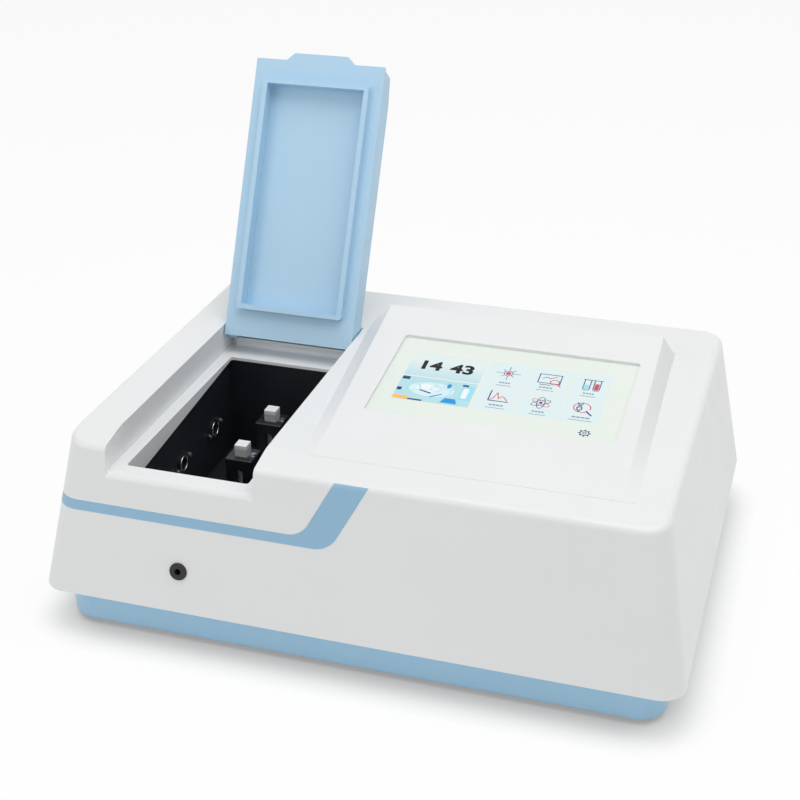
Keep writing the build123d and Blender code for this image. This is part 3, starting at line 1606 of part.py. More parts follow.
with BuildPart() as rear_panel:
    with BuildSketch(rear_plane):
        RectangleRounded(rear_panel_width, rear_panel_height, 4.0)
        with Locations(inlet_spot):
            Rectangle(inlet_width + 2 * running_fit, inlet_tall + 2 * running_fit, mode=Mode.SUBTRACT)
        with Locations(switch_spot):
            Rectangle(switch_width + 2 * running_fit, switch_tall + 2 * running_fit, mode=Mode.SUBTRACT)
        with Locations(*usb_spots):
            Rectangle(usb_width + 2 * running_fit, usb_tall + 2 * running_fit, mode=Mode.SUBTRACT)
    extrude(amount=rear_panel_thickness)
    chamfer(rear_panel.faces().sort_by(Axis.Y)[-1].outer_wire().edges(), 0.6)
save(rear_panel, "rear_panel")

panel_face = rear_plane.offset(rear_panel_thickness)
socket_floor = panel_face.offset(inlet_flange - socket_depth)
pin_spots = [(inlet_u - 7.0, -2.0), (inlet_u, 2.0), (inlet_u + 7.0, -2.0)]
with BuildPart() as power_inlet:
    with BuildSketch(panel_face):
        with Locations(inlet_spot):
            RectangleRounded(inlet_width + 2 * inlet_lip, inlet_tall + 2 * inlet_lip, 3.0)
    extrude(amount=inlet_flange)
    with BuildSketch(panel_face):
        with Locations(inlet_spot):
            Rectangle(inlet_width, inlet_tall)
    extrude(amount=-(socket_depth - inlet_flange + inlet_back))
    with BuildSketch(socket_floor):
        with Locations(inlet_spot):
            RectangleRounded(socket_width, socket_tall, 2.5)
    extrude(amount=socket_depth, mode=Mode.SUBTRACT)
    with BuildSketch(socket_floor):
        with Locations(*pin_spots):
            Rectangle(2.0 + 2 * running_fit, 4.0 + 2 * running_fit)
    extrude(amount=-inlet_back, mode=Mode.SUBTRACT)
save(power_inlet, "power_inlet")

with BuildPart() as inlet_pins:
    with BuildSketch(socket_floor.offset(-inlet_back - 4)):
        with Locations(*pin_spots):
            Rectangle(2.0, 4.0)
    extrude(amount=inlet_back + 4 + socket_depth - 3)
save(inlet_pins, "inlet_pins")

rocker_gap = 0.4
rocker_pivot = 2.0
rocker_low = 6.0
rocker_rise = 4.0
rocker_dip = 0.8
pivot_plane = Plane(
    origin=panel_face.offset(-rocker_pivot).origin + Vector(-switch_u, 0, 0),
    x_dir=panel_face.y_dir,
    z_dir=(-1, 0, 0),
)
with BuildPart() as switch_frame:
    with BuildSketch(panel_face):
        with Locations(switch_spot):
            RectangleRounded(switch_width + 2 * switch_lip, switch_tall + 2 * switch_lip, 1.5)
    extrude(amount=switch_lip)
    with BuildSketch(panel_face):
        with Locations(switch_spot):
            Rectangle(switch_width, switch_tall)
    extrude(amount=-switch_depth)
    with BuildSketch(panel_face.offset(switch_lip)):
        with Locations(switch_spot):
            Rectangle(rocker_width + 2 * rocker_gap, rocker_length + 3.0)
    extrude(amount=-(switch_lip + rocker_pivot + rocker_low + 2), mode=Mode.SUBTRACT)
    with BuildSketch(pivot_plane.offset(-switch_width / 2)):
        Circle(axle_radius + running_fit)
    extrude(amount=switch_width, mode=Mode.SUBTRACT)
save(switch_frame, "switch_frame")

rocker_tilt = radians(rocker_throw / 2)
rocker_tilted = Plane(
    origin=pivot_plane.origin,
    x_dir=pivot_plane.x_dir * cos(rocker_tilt) + pivot_plane.y_dir * sin(rocker_tilt),
    z_dir=pivot_plane.z_dir,
)
with BuildPart() as rocker:
    with BuildSketch(rocker_tilted.offset(-rocker_width / 2)):
        Polygon(
            (-rocker_length / 2, rocker_rise + rocker_pivot),
            (0, rocker_rise + rocker_pivot - 2 * rocker_dip),
            (rocker_length / 2, rocker_rise + rocker_pivot),
            (rocker_length / 2 - 1, -rocker_pivot / 2),
            (3.0, -rocker_low),
            (-3.0, -rocker_low),
            (1 - rocker_length / 2, -rocker_pivot / 2),
            align=None,
        )
    extrude(amount=rocker_width)
    with BuildSketch(pivot_plane.offset(-switch_width / 2)):
        Circle(axle_radius)
    extrude(amount=switch_width)
save(rocker, "rocker")

with BuildPart() as usb_ports:
    for spot in usb_spots:
        with BuildSketch(panel_face.offset(0.5)):
            with Locations(spot):
                Rectangle(usb_width, usb_tall)
        extrude(amount=-usb_depth)
        with BuildSketch(panel_face.offset(0.5)):
            with Locations(spot):
                Rectangle(usb_width - 2 * usb_shell, usb_tall - 2 * usb_shell)
                with Locations((0, 1.2)):
                    Rectangle(usb_width - 4.0, 1.8, mode=Mode.SUBTRACT)
        extrude(amount=-(usb_depth - 3), mode=Mode.SUBTRACT)
save(usb_ports, "usb_ports")

# Small screws of the chamber: two to a cell, one to a clip
screw_length = 3.5
clip_screw_length = 6.0
shank_radius = small_screw_radius - running_fit
with BuildPart() as chamber_screws:
    for plane in port_planes:
        with BuildSketch(plane.offset(cell_flange)):
            with Locations(*ear_spots(ear_turn)):
                Circle(small_head_radius)
        extrude(amount=small_head_height)
        with BuildSketch(plane.offset(cell_flange)):
            with Locations(*ear_spots(ear_turn)):
                Circle(shank_radius)
        extrude(amount=-screw_length)
        with BuildSketch(plane.offset(cell_flange + small_head_height)):
            with Locations(*ear_spots(ear_turn)):
                RegularPolygon(small_head_radius / 2, 6)
        extrude(amount=-small_head_height / 2, mode=Mode.SUBTRACT)
    for y in beam_ys:
        head_plane = Plane(origin=(cell_x + clip_screw_x, y, holder_top + clip_thickness))
        add(rod(head_plane, small_head_radius - 0.4, small_head_height))
        add(rod(head_plane, shank_radius, -clip_screw_length))
save(chamber_screws, "chamber_screws")
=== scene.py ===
"""Looks of a double-beam bench spectrophotometer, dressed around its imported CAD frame.

Lengths are in metres in the CAD frame: X to the right, Y to the back, Z up. What is drawn on the
display is placed in millimetres across (u) and up (v) the glass, from the glass's middle.
"""
import math

import bmesh
import bpy
from mathutils import Matrix, Vector


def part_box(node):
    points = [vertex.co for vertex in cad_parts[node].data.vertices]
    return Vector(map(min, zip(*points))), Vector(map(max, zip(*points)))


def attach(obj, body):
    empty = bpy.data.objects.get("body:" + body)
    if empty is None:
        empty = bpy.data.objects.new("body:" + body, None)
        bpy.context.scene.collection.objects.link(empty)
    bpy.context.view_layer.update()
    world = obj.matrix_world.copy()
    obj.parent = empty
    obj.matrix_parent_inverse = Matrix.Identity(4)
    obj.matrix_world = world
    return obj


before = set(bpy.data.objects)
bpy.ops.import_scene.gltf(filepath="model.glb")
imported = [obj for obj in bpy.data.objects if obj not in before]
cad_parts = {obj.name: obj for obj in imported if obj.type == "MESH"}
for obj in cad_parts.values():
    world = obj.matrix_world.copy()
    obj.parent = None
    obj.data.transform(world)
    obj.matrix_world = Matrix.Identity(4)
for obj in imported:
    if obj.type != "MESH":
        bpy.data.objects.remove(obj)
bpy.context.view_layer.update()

MM = 0.001
DISPLAY_TILT = math.radians(7.0)
GLASS_THICKNESS = 1.8 * MM


# Materials
def shader_tree(name):
    """A new node material: its tree, its shader and object coordinates."""
    material = bpy.data.materials.new(name)
    material.use_nodes = True
    tree = material.node_tree
    shader = tree.nodes["Principled BSDF"]
    place = tree.nodes.new("ShaderNodeTexCoord").outputs["Object"]
    return material, tree, shader, place


def noise(tree, place, size, detail=3.0, stretch=(1.0, 1.0, 1.0)):
    """A noise pattern with features of about a size in metres, drawn out along some axes."""
    mapping = tree.nodes.new("ShaderNodeMapping")
    mapping.inputs["Scale"].default_value = stretch
    pattern = tree.nodes.new("ShaderNodeTexNoise")
    pattern.inputs["Scale"].default_value = 1.0 / size
    pattern.inputs["Detail"].default_value = detail
    tree.links.new(place, mapping.inputs["Vector"])
    tree.links.new(mapping.outputs["Vector"], pattern.inputs["Vector"])
    return pattern.outputs["Fac"]


def blend_colours(tree, factor, low, high):
    """Two colours mixed by a pattern."""
    mix = tree.nodes.new("ShaderNodeMix")
    mix.data_type = "RGBA"
    mix.inputs["A"].default_value = (*low, 1.0)
    mix.inputs["B"].default_value = (*high, 1.0)
    tree.links.new(factor, mix.inputs["Factor"])
    return mix.outputs["Result"]


def map_range(tree, value, low, high, from_low=0.3, from_high=0.7):
    """A pattern's middle stretched over a range of values."""
    ranged = tree.nodes.new("ShaderNodeMapRange")
    ranged.inputs["From Min"].default_value = from_low
    ranged.inputs["From Max"].default_value = from_high
    ranged.inputs["To Min"].default_value = low
    ranged.inputs["To Max"].default_value = high
    tree.links.new(value, ranged.inputs["Value"])
    return ranged.outputs["Result"]


def bump(tree, shader, height, depth, strength=1.0):
    node = tree.nodes.new("ShaderNodeBump")
    node.inputs["Distance"].default_value = depth
    node.inputs["Strength"].default_value = strength
    tree.links.new(height, node.inputs["Height"])
    tree.links.new(node.outputs["Normal"], shader.inputs["Normal"])
    return node


def shade(colour, share):
    """A colour made darker or lighter by a share of itself."""
    return tuple(min(1.0, channel * (1.0 + share)) for channel in colour)


def plastic(name, colour, roughness=0.42, grain=0.0009, depth=0.00003, drift=0.02, coat=0.0):
    """Moulded plastic: a spark-eroded grain, slow drifts of colour and unevenly handled gloss."""
    material, tree, shader, place = shader_tree(name)
    slow = noise(tree, place, 0.09, detail=2.0)
    tint = blend_colours(tree, slow, shade(colour, -drift), shade(colour, drift))
    tree.links.new(tint, shader.inputs["Base Color"])
    handled = noise(tree, place, 0.03, detail=5.0)
    rough = map_range(tree, handled, roughness - 0.05, roughness + 0.06)
    tree.links.new(rough, shader.inputs["Roughness"])
    bump(tree, shader, noise(tree, place, grain, detail=2.0), depth)
    shader.inputs["Coat Weight"].default_value = coat
    shader.inputs["Coat Roughness"].default_value = 0.15
    return material


def metal(name, colour, roughness=0.3, stretch=(1.0, 1.0, 1.0), grain=0.0012, depth=0.00002):
    """Metal with a brushed or blasted finish; the stretch draws the brushing out."""
    material, tree, shader, place = shader_tree(name)
    shader.inputs["Metallic"].default_value = 1.0
    brushing = noise(tree, place, grain, detail=4.0, stretch=stretch)
    tint = blend_colours(tree, brushing, shade(colour, -0.12), shade(colour, 0.08))
    tree.links.new(tint, shader.inputs["Base Color"])
    worn = noise(tree, place, 0.012, detail=5.0)
    rough = map_range(tree, worn, roughness - 0.08, roughness + 0.1)
    tree.links.new(rough, shader.inputs["Roughness"])
    bump(tree, shader, brushing, depth)
    return material


def glass(name, colour, roughness=0.02, ior=1.46, clear=1.0):
    """Clear, tinted or frosted glass with faint smears."""
    material, tree, shader, place = shader_tree(name)
    shader.inputs["Base Color"].default_value = (*colour, 1.0)
    shader.inputs["Transmission Weight"].default_value = clear
    shader.inputs["IOR"].default_value = ior
    smears = noise(tree, place, 0.006, detail=4.0)
    tree.links.new(map_range(tree, smears, roughness, roughness + 0.06), shader.inputs["Roughness"])
    return material


def two_part(name, low_colour, high_colour, height, roughness=(0.5, 0.2), metallic=0.0, grain=0.002):
    """A piece with one finish below a height and another above it."""
    material, tree, shader, place = shader_tree(name)
    split = tree.nodes.new("ShaderNodeSeparateXYZ")
    tree.links.new(place, split.inputs["Vector"])
    above = map_range(tree, split.outputs["Z"], 0.0, 1.0, height - 0.0001, height + 0.0001)
    mottled = noise(tree, place, grain, detail=4.0)
    low = blend_colours(tree, mottled, shade(low_colour, -0.15), shade(low_colour, 0.15))
    mix = tree.nodes.new("ShaderNodeMix")
    mix.data_type = "RGBA"
    tree.links.new(above, mix.inputs["Factor"])
    tree.links.new(low, mix.inputs["A"])
    mix.inputs["B"].default_value = (*high_colour, 1.0)
    tree.links.new(mix.outputs["Result"], shader.inputs["Base Color"])
    tree.links.new(map_range(tree, above, *roughness, 0.0, 1.0), shader.inputs["Roughness"])
    shader.inputs["Metallic"].default_value = metallic
    bump(tree, shader, mottled, 0.00005)
    return material


def lit(name, colour, glow, roughness=0.12):
    """Print or pixels under the display's glass: a plain colour that shines a little."""
    material, tree, shader, place = shader_tree(name)
    pixels = noise(tree, place, 0.0004, detail=1.0)
    tint = blend_colours(tree, pixels, shade(colour, -0.015), shade(colour, 0.015))
    tree.links.new(tint, shader.inputs["Base Color"])
    tree.links.new(tint, shader.inputs["Emission Color"])
    shader.inputs["Emission Strength"].default_value = glow
    shader.inputs["Specular IOR Level"].default_value = 0.15
    shader.inputs["Roughness"].default_value = roughness
    return material


def graded(name, low_colour, high_colour, low, high):
    """Print whose colour runs from one at a low height to another at a high one."""
    material, tree, shader, place = shader_tree(name)
    split = tree.nodes.new("ShaderNodeSeparateXYZ")
    tree.links.new(place, split.inputs["Vector"])
    rise = map_range(tree, split.outputs["Z"], 0.0, 1.0, low, high)
    tree.links.new(blend_colours(tree, rise, low_colour, high_colour), shader.inputs["Base Color"])
    shader.inputs["Roughness"].default_value = 0.12
    return material


def dress(material, *names):
    """Put a material on every slot of some CAD nodes."""
    for name in names:
        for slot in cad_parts[name].material_slots:
            slot.material = material


CASING = (0.80, 0.81, 0.812)
BLUE_LID = (0.43, 0.64, 0.81)
BLUE_TRAY = (0.36, 0.59, 0.77)
BLUE_STRIPE = (0.29, 0.50, 0.67)

casing_finish = plastic("casing_white", CASING, roughness=0.38)
dress(casing_finish, "upper_casing", "hinge_strip")
dress(plastic("stripe_blue", BLUE_STRIPE, roughness=0.4), "front_stripe")
dress(plastic("tray_blue", BLUE_TRAY, roughness=0.4), "base_tray")
dress(plastic("lid_blue", BLUE_LID, roughness=0.4), "lid_shell", "lid_liner")
dress(plastic("foot_rubber", (0.02, 0.02, 0.022), roughness=0.75, grain=0.0015, depth=0.0001),
      "feet", "bench_mounts")
dress(plastic("port_rubber", (0.012, 0.012, 0.013), roughness=0.5), "rod_port_grommet")
dress(plastic("chamber_black", (0.010, 0.012, 0.017), roughness=0.45, grain=0.0012, depth=0.00008),
      "chamber_liner")
dress(plastic("holder_black", (0.012, 0.013, 0.016), roughness=0.32, grain=0.0006),
      "sample_holder", "reference_holder", "filter_wheel")
dress(plastic("housing_black", (0.02, 0.02, 0.023), roughness=0.5, grain=0.001, depth=0.0001),
      "monochromator_housing", "monochromator_cover", "detectors")
dress(plastic("port_black", (0.014, 0.016, 0.02), roughness=0.3, grain=0.0006),
      "sample_lens_cell", "reference_lens_cell", "window_cells")
dress(metal("plate_light", (0.62, 0.63, 0.65), 0.34, stretch=(1.0, 12.0, 1.0)),
      "holder_base", "grating_turntable")
dress(metal("spring_leaf", (0.66, 0.66, 0.67), 0.2, stretch=(1.0, 1.0, 0.1)), "cuvette_clips", "hinge_pins")
dress(metal("screw_steel", (0.5, 0.5, 0.52), 0.25),
      "case_screws", "chamber_screws", "inlet_pins", "slits", "usb_ports")
dress(metal("bench_machined", (0.55, 0.56, 0.58), 0.38, stretch=(0.05, 1.0, 1.0), grain=0.002),
      "optical_bench")
dress(metal("sheet_zinc", (0.58, 0.59, 0.6), 0.35, stretch=(0.08, 1.0, 1.0)),
      "lamp_house", "power_supply", "detector_bracket", "display_bracket")
dress(metal("mirror_coat", (0.9, 0.91, 0.92), 0.1, depth=0.000002),
      "collimating_mirror", "focusing_mirror", "fold_mirror", "source_mirror")
dress(glass("optic_clear", (0.93, 0.97, 1.0)), "lenses", "windows", "beam_splitter")
dress(glass("cell_frosted", (0.72, 0.74, 0.75), roughness=0.4, clear=0.35),
      "sample_cuvette", "reference_cuvette")
dress(glass("filter_amber", (0.95, 0.55, 0.15)), "order_filters")
dress(plastic("cap_white", (0.83, 0.84, 0.84), roughness=0.45, grain=0.0005), "sample_cap", "reference_cap")
dress(plastic("motor_black", (0.03, 0.03, 0.033), roughness=0.4),
      "grating_motor", "filter_motor", "source_mirror_motor")
dress(plastic("fan_black", (0.02, 0.02, 0.022), roughness=0.45), "fan_frame", "fan_rotor")
dress(plastic("panel_grey", (0.30, 0.31, 0.32), roughness=0.45), "rear_panel")
dress(plastic("switch_black", (0.012, 0.012, 0.013), roughness=0.3), "power_inlet", "switch_frame", "rocker")
dress(lit("panel_off", (0.05, 0.055, 0.06), 0.0), "lcd_panel")

# Pieces whose finish changes at a height above their foot
CERAMIC = (0.7, 0.68, 0.63)
BULB = (0.75, 0.8, 0.85)
BOARD_RISE = 13.7 * MM
DEUTERIUM_COLLAR = 18.0 * MM
TUNGSTEN_COLLAR = 30.0 * MM
board_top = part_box("mainboard")[0][2] + BOARD_RISE
dress(two_part("board_green", (0.02, 0.13, 0.05), (0.015, 0.015, 0.017), board_top), "mainboard")
for lamp, collar in (("deuterium_lamp", DEUTERIUM_COLLAR), ("tungsten_lamp", TUNGSTEN_COLLAR)):
    collar_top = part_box(lamp)[0][2] + collar
    dress(two_part(f"{lamp}_bulb", CERAMIC, BULB, collar_top, roughness=(0.6, 0.05)), lamp)


def ruled_grating():
    """A mirror with fine upright rulings, with the rainbow colours they split the light into painted on as
    blue and orange patches.
    """
    material, tree, shader, place = shader_tree("grating_ruled")
    rulings = tree.nodes.new("ShaderNodeTexWave")
    rulings.inputs["Scale"].default_value = 900.0
    tree.links.new(place, rulings.inputs["Vector"])
    # Painted rainbow sheen: blue and orange patches of diffraction colour put into the base colour
    tint = blend_colours(tree, noise(tree, place, 0.02), (0.55, 0.7, 0.9), (0.9, 0.75, 0.6))
    tree.links.new(tint, shader.inputs["Base Color"])
    shader.inputs["Metallic"].default_value = 1.0
    shader.inputs["Roughness"].default_value = 0.18
    bump(tree, shader, rulings.outputs["Fac"], 0.00002)
    return material


dress(ruled_grating(), "grating")


RING_STEPS = 48
WIRE_STEPS = 10
RING_WIRE = 0.5 * MM
RING_CLEARANCE = 0.4 * MM


def port_glint_ring(name, middle, radius):
    """A thin ring of bright metal round a lens, its axis along X: a painted highlight for the glint on the
    black lens cell's rim.
    """
    mesh = bpy.data.meshes.new(name)
    form = bmesh.new()
    rounds = []
    for index in range(RING_STEPS):
        turn = 2 * math.pi * index / RING_STEPS
        out = Vector((0.0, math.cos(turn), math.sin(turn)))
        section = []
        for step in range(WIRE_STEPS):
            lean = 2 * math.pi * step / WIRE_STEPS
            across = Vector((RING_WIRE * math.sin(lean), 0.0, 0.0))
            section.append(form.verts.new(middle + out * (radius + RING_WIRE * math.cos(lean)) + across))
        rounds.append(section)
    for section, following in zip(rounds, rounds[1:] + rounds[:1]):
        for step in range(WIRE_STEPS):
            after = (step + 1) % WIRE_STEPS
            form.faces.new((section[step], section[after], following[after], following[step]))
    bmesh.ops.recalc_face_normals(form, faces=form.faces)
    for face in form.faces:
        face.smooth = True
    form.to_mesh(mesh)
    form.free()
    mesh.materials.append(rim_glint_metal)
    ring = bpy.data.objects.new(name, mesh)
    bpy.context.collection.objects.link(ring)
    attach(ring, "instrument")


# Rings of bright metal in the two left-hand ports, at the middles of the lenses: painted highlights for the
# glints on the black cells' rims
rim_glint_metal = metal("rim_glint_metal", (0.78, 0.80, 0.82), 0.18)
lens_low, lens_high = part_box("lenses")
lens_radius = (lens_high[2] - lens_low[2]) / 2.0
port_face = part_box("sample_lens_cell")[1][0]
port_height = (lens_low[2] + lens_high[2]) / 2.0
for port, port_y in (("sample", lens_low[1] + lens_radius), ("reference", lens_high[1] - lens_radius)):
    port_glint_ring(f"{port}_port_glint_ring", Vector((port_face, port_y, port_height)), lens_radius + RING_CLEARANCE)

# Display: a frame of reference on the glass
glass_low, glass_high = (Vector(corner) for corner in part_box("touch_glass"))
glass_across = Vector((1.0, 0.0, 0.0))
glass_up = Vector((0.0, math.cos(DISPLAY_TILT), math.sin(DISPLAY_TILT)))
glass_out = glass_across.cross(glass_up)
glass_middle = (glass_low + glass_high) / 2.0 + glass_out * GLASS_THICKNESS / 2.0
LAYER = 0.02 * MM

dress(lit("bezel_print", (0.77, 0.83, 0.77), 0.01), "touch_glass")


def on_glass(u, v, layer):
    """A point on the display, in millimetres across and up, some thin layers above the glass."""
    return glass_middle + glass_across * u * MM + glass_up * v * MM + glass_out * layer * LAYER


def printed(name, shapes, material, layer):
    """One piece of print on the display, made of closed outlines in millimetres."""
    mesh = bpy.data.meshes.new(name)
    form = bmesh.new()
    for outline in shapes:
        form.faces.new([form.verts.new(on_glass(u, v, layer)) for u, v in outline])
    form.normal_update()
    for face in form.faces:
        if face.normal.dot(glass_out) < 0.0:
            face.normal_flip()
    form.to_mesh(mesh)
    form.free()
    mesh.materials.append(material)
    piece = bpy.data.objects.new(name, mesh)
    bpy.context.collection.objects.link(piece)
    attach(piece, "instrument")
    return piece


def arc(u, v, radius_u, radius_v, start, end, steps=24, turn=0.0):
    """Points along part of an ellipse, in degrees, turned about its middle."""
    points = []
    for index in range(steps + 1):
        angle = math.radians(start + (end - start) * index / steps)
        across, up = radius_u * math.cos(angle), radius_v * math.sin(angle)
        lean = math.radians(turn)
        points.append((u + across * math.cos(lean) - up * math.sin(lean),
                       v + across * math.sin(lean) + up * math.cos(lean)))
    return points


def disc(u, v, radius):
    return [arc(u, v, radius, radius, 0, 345, steps=23)]


def panel(left, low, right, high, corner=2.0):
    """A rectangle with round corners."""
    outline = []
    for u, v, start in ((right - corner, high - corner, 0), (left + corner, high - corner, 90),
                        (left + corner, low + corner, 180), (right - corner, low + corner, 270)):
        outline += arc(u, v, corner, corner, start, start + 90, steps=5)
    return [outline]


def stroke(points, width=0.9):
    """A line of some width through points, one four-sided piece to each run."""
    shapes = []
    for (u0, v0), (u1, v1) in zip(points, points[1:]):
        length = math.hypot(u1 - u0, v1 - v0)
        along_u, along_v = (u1 - u0) / length * width / 2, (v1 - v0) / length * width / 2
        shapes.append([(u0 - along_u - along_v, v0 - along_v + along_u),
                       (u0 - along_u + along_v, v0 - along_v - along_u),
                       (u1 + along_u + along_v, v1 + along_v - along_u),
                       (u1 + along_u - along_v, v1 + along_v + along_u)])
    return shapes


def ellipse_line(u, v, radius_u, radius_v, width=0.9, turn=0.0, start=0, end=360):
    """A line round an ellipse, as one band of four-sided pieces."""
    outer = arc(u, v, radius_u + width / 2, radius_v + width / 2, start, end, 32, turn)
    inner = arc(u, v, radius_u - width / 2, radius_v - width / 2, start, end, 32, turn)
    return [[outer[i], outer[i + 1], inner[i + 1], inner[i]] for i in range(32)]


# Colours of the display's picture
tile_pale = lit("tile_pale", (0.70, 0.81, 0.82), 0.03)
tile_sky = lit("tile_sky", (0.46, 0.71, 0.75), 0.03)
ink_black = lit("ink_black", (0.004, 0.004, 0.005), 0.0)
ink_navy = lit("ink_navy", (0.02, 0.06, 0.22), 0.02)
ink_red = lit("ink_red", (0.62, 0.07, 0.10), 0.04)
ink_grey = lit("ink_grey", (0.25, 0.32, 0.42), 0.03)
ink_sky = lit("ink_sky", (0.30, 0.66, 0.80), 0.1)
ink_blue = lit("ink_blue", (0.02, 0.28, 0.66), 0.08)
ink_orange = lit("ink_orange", (0.9, 0.48, 0.12), 0.08)
ink_white = lit("ink_white", (0.82, 0.87, 0.87), 0.04)
ink_mist = lit("ink_mist", (0.66, 0.83, 0.86), 0.02)

TILE_COLUMNS = ((-23.0, 16.5), (18.5, 57.0), (59.0, 95.0))
TILE_ROWS = ((2.5, 43.5), (-39.5, 0.5))

clock_low, clock_high = on_glass(0.0, 2.5, 0).z, on_glass(0.0, 30.0, 0).z
tile_clock = graded("tile_clock", (0.50, 0.72, 0.80), (0.74, 0.83, 0.82), clock_low, clock_high)
printed("screen_clock_tile", panel(-99.0, 2.5, -25.5, 43.5), tile_clock, 1)
printed("screen_photo_tile", panel(-99.0, -39.5, -25.5, 0.5, 1.0), tile_sky, 1)
tiles = []
for low, high in TILE_ROWS:
    for left, right in TILE_COLUMNS:
        tiles += panel(left, low, right, high)
printed("screen_tiles", tiles, tile_pale, 1)

# Clock: plain bold digits
DIGIT_HEIGHT = 14.6
DIGIT_BREADTH = 1.12
for index, (text, left) in enumerate((("14", -90.0), ("43", -58.0))):
    curve = bpy.data.curves.new(f"clock_digits_{index}", "FONT")
    curve.body = text
    curve.size = DIGIT_HEIGHT / 0.7 * MM
    curve.offset = 0.75 * MM
    curve.resolution_u = 6
    digits = bpy.data.objects.new(f"clock_digits_{index}", curve)
    glass_turn = Matrix((glass_across, glass_up, glass_out)).transposed().to_quaternion()
    digits.matrix_world = Matrix.LocRotScale(on_glass(left, 15.8, 3), glass_turn, (DIGIT_BREADTH, 1.0, 1.0))
    curve.materials.append(ink_black)
    bpy.context.collection.objects.link(digits)
    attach(digits, "instrument")

# Tile 1: a light source with its rays
burst_u, burst_v = -2.3, 26.5
rays = []
for index in range(8):
    angle = math.radians(45.0 * index)
    reach = 11.5 if index % 2 == 0 else 8.5
    rays += stroke([(burst_u + 5.0 * math.cos(angle), burst_v + 5.0 * math.sin(angle)),
                    (burst_u + reach * math.cos(angle), burst_v + reach * math.sin(angle))], 0.6)
printed("icon_burst_rays", rays + ellipse_line(burst_u, burst_v, 4.2, 4.2, 0.8), ink_navy, 2)
printed("icon_burst_heart", disc(burst_u, burst_v, 2.6), ink_red, 2)

# Tile 2: a meter with a lens over it
meter = stroke([(27.5, 18.5), (27.5, 33.5), (48.5, 33.5), (48.5, 18.5), (27.5, 18.5)], 1.0)
meter += stroke([(31.0, 26.0), (35.0, 29.0), (38.0, 27.0), (44.0, 30.5)], 0.8)
meter += stroke([(30.0, 15.4), (40.0, 15.4)], 1.0)
printed("icon_meter", meter, ink_navy, 2)
meter_lens = ellipse_line(43.5, 21.0, 4.2, 4.2, 1.0) + stroke([(46.5, 18.0), (49.5, 14.8)], 1.3)
printed("icon_meter_lens", meter_lens, ink_red, 3)

# Tile 3: two test tubes
tubes = []
for left in (70.5, 80.0):
    tubes += stroke([(left, 33.0), (left, 18.5)], 0.9) + stroke([(left + 6.0, 33.0), (left + 6.0, 18.5)], 0.9)
    tubes += stroke([(left - 1.0, 33.4), (left + 7.0, 33.4)], 1.0)
    tubes += ellipse_line(left + 3.0, 18.5, 3.0, 3.0, 0.9, start=180, end=360)
printed("icon_tubes", tubes, ink_navy, 2)
printed("icon_tube_blue", panel(71.4, 16.8, 75.6, 25.0, 1.8), ink_sky, 2)
printed("icon_tube_red", panel(80.9, 16.8, 85.1, 28.0, 1.8), ink_red, 2)

# Tile 4: a spectrum with its axes
printed("icon_axes", stroke([(-10.5, -6.0), (-10.5, -22.5), (8.0, -22.5)], 1.2), ink_navy, 2)
printed("icon_spectrum", stroke([(-9.0, -21.0), (-6.5, -18.0), (-4.0, -8.5), (-1.5, -18.0), (1.0, -14.0),
                                 (3.5, -15.5), (7.0, -20.5)], 0.9), ink_red, 3)

# Tile 5: three orbits round a core
orbits = ellipse_line(38.1, -15.5, 9.5, 3.6, 0.8, 90) + ellipse_line(38.1, -15.5, 9.5, 3.6, 0.8, 30)
printed("icon_orbits", orbits + disc(38.1, -15.5, 1.7), ink_navy, 2)
printed("icon_orbit_red", ellipse_line(38.1, -15.5, 9.5, 3.6, 0.8, -30), ink_red, 3)

# Tile 6: a lens over two twisted strands
printed("icon_lens", ellipse_line(76.5, -14.5, 7.8, 7.8, 1.0, start=-20, end=320), ink_red, 2)
strands = stroke([(81.5, -20.0), (86.5, -25.5)], 1.6)
for swing in (-2.4, 2.4):
    strand = [(74.0 + swing * math.cos(0.55 * step), -7.0 - 1.6 * step) for step in range(10)]
    strands += stroke(strand, 0.9)
for step in range(1, 9, 2):
    strands += stroke([(71.8, -7.2 - 1.6 * step), (76.2, -7.2 - 1.6 * step)], 0.6)
printed("icon_strands", strands, ink_navy, 3)

# Tiny captions as plain bars
captions = []
for u, upper, length in ((-2.3, 9.5, 11.0), (36.8, 10.6, 13.0), (77.4, 10.0, 11.0),
                         (-1.2, -29.3, 14.0), (38.5, -30.6, 12.0), (78.0, -30.6, 17.0)):
    for part in range(4):
        left = u - length / 2 + part * length / 4
        captions += panel(left + 0.3, upper - 1.1, left + length / 4 - 0.3, upper + 1.1, 0.4)
    captions += panel(u - length * 0.65, upper - 5.2, u + length * 0.65, upper - 4.3, 0.4)
printed("screen_captions", captions, ink_grey, 2)

# A small cog under the tiles
cog_u, cog_v = 86.3, -54.3
cog = ellipse_line(cog_u, cog_v, 4.0, 3.6, 0.9) + ellipse_line(cog_u, cog_v, 1.5, 1.5, 0.8)
for index in range(8):
    angle = math.radians(45.0 * index)
    cog += stroke([(cog_u + 4.2 * math.cos(angle), cog_v + 3.8 * math.sin(angle)),
                   (cog_u + 5.2 * math.cos(angle), cog_v + 4.8 * math.sin(angle))], 1.4)
printed("icon_cog", cog, ink_navy, 2)

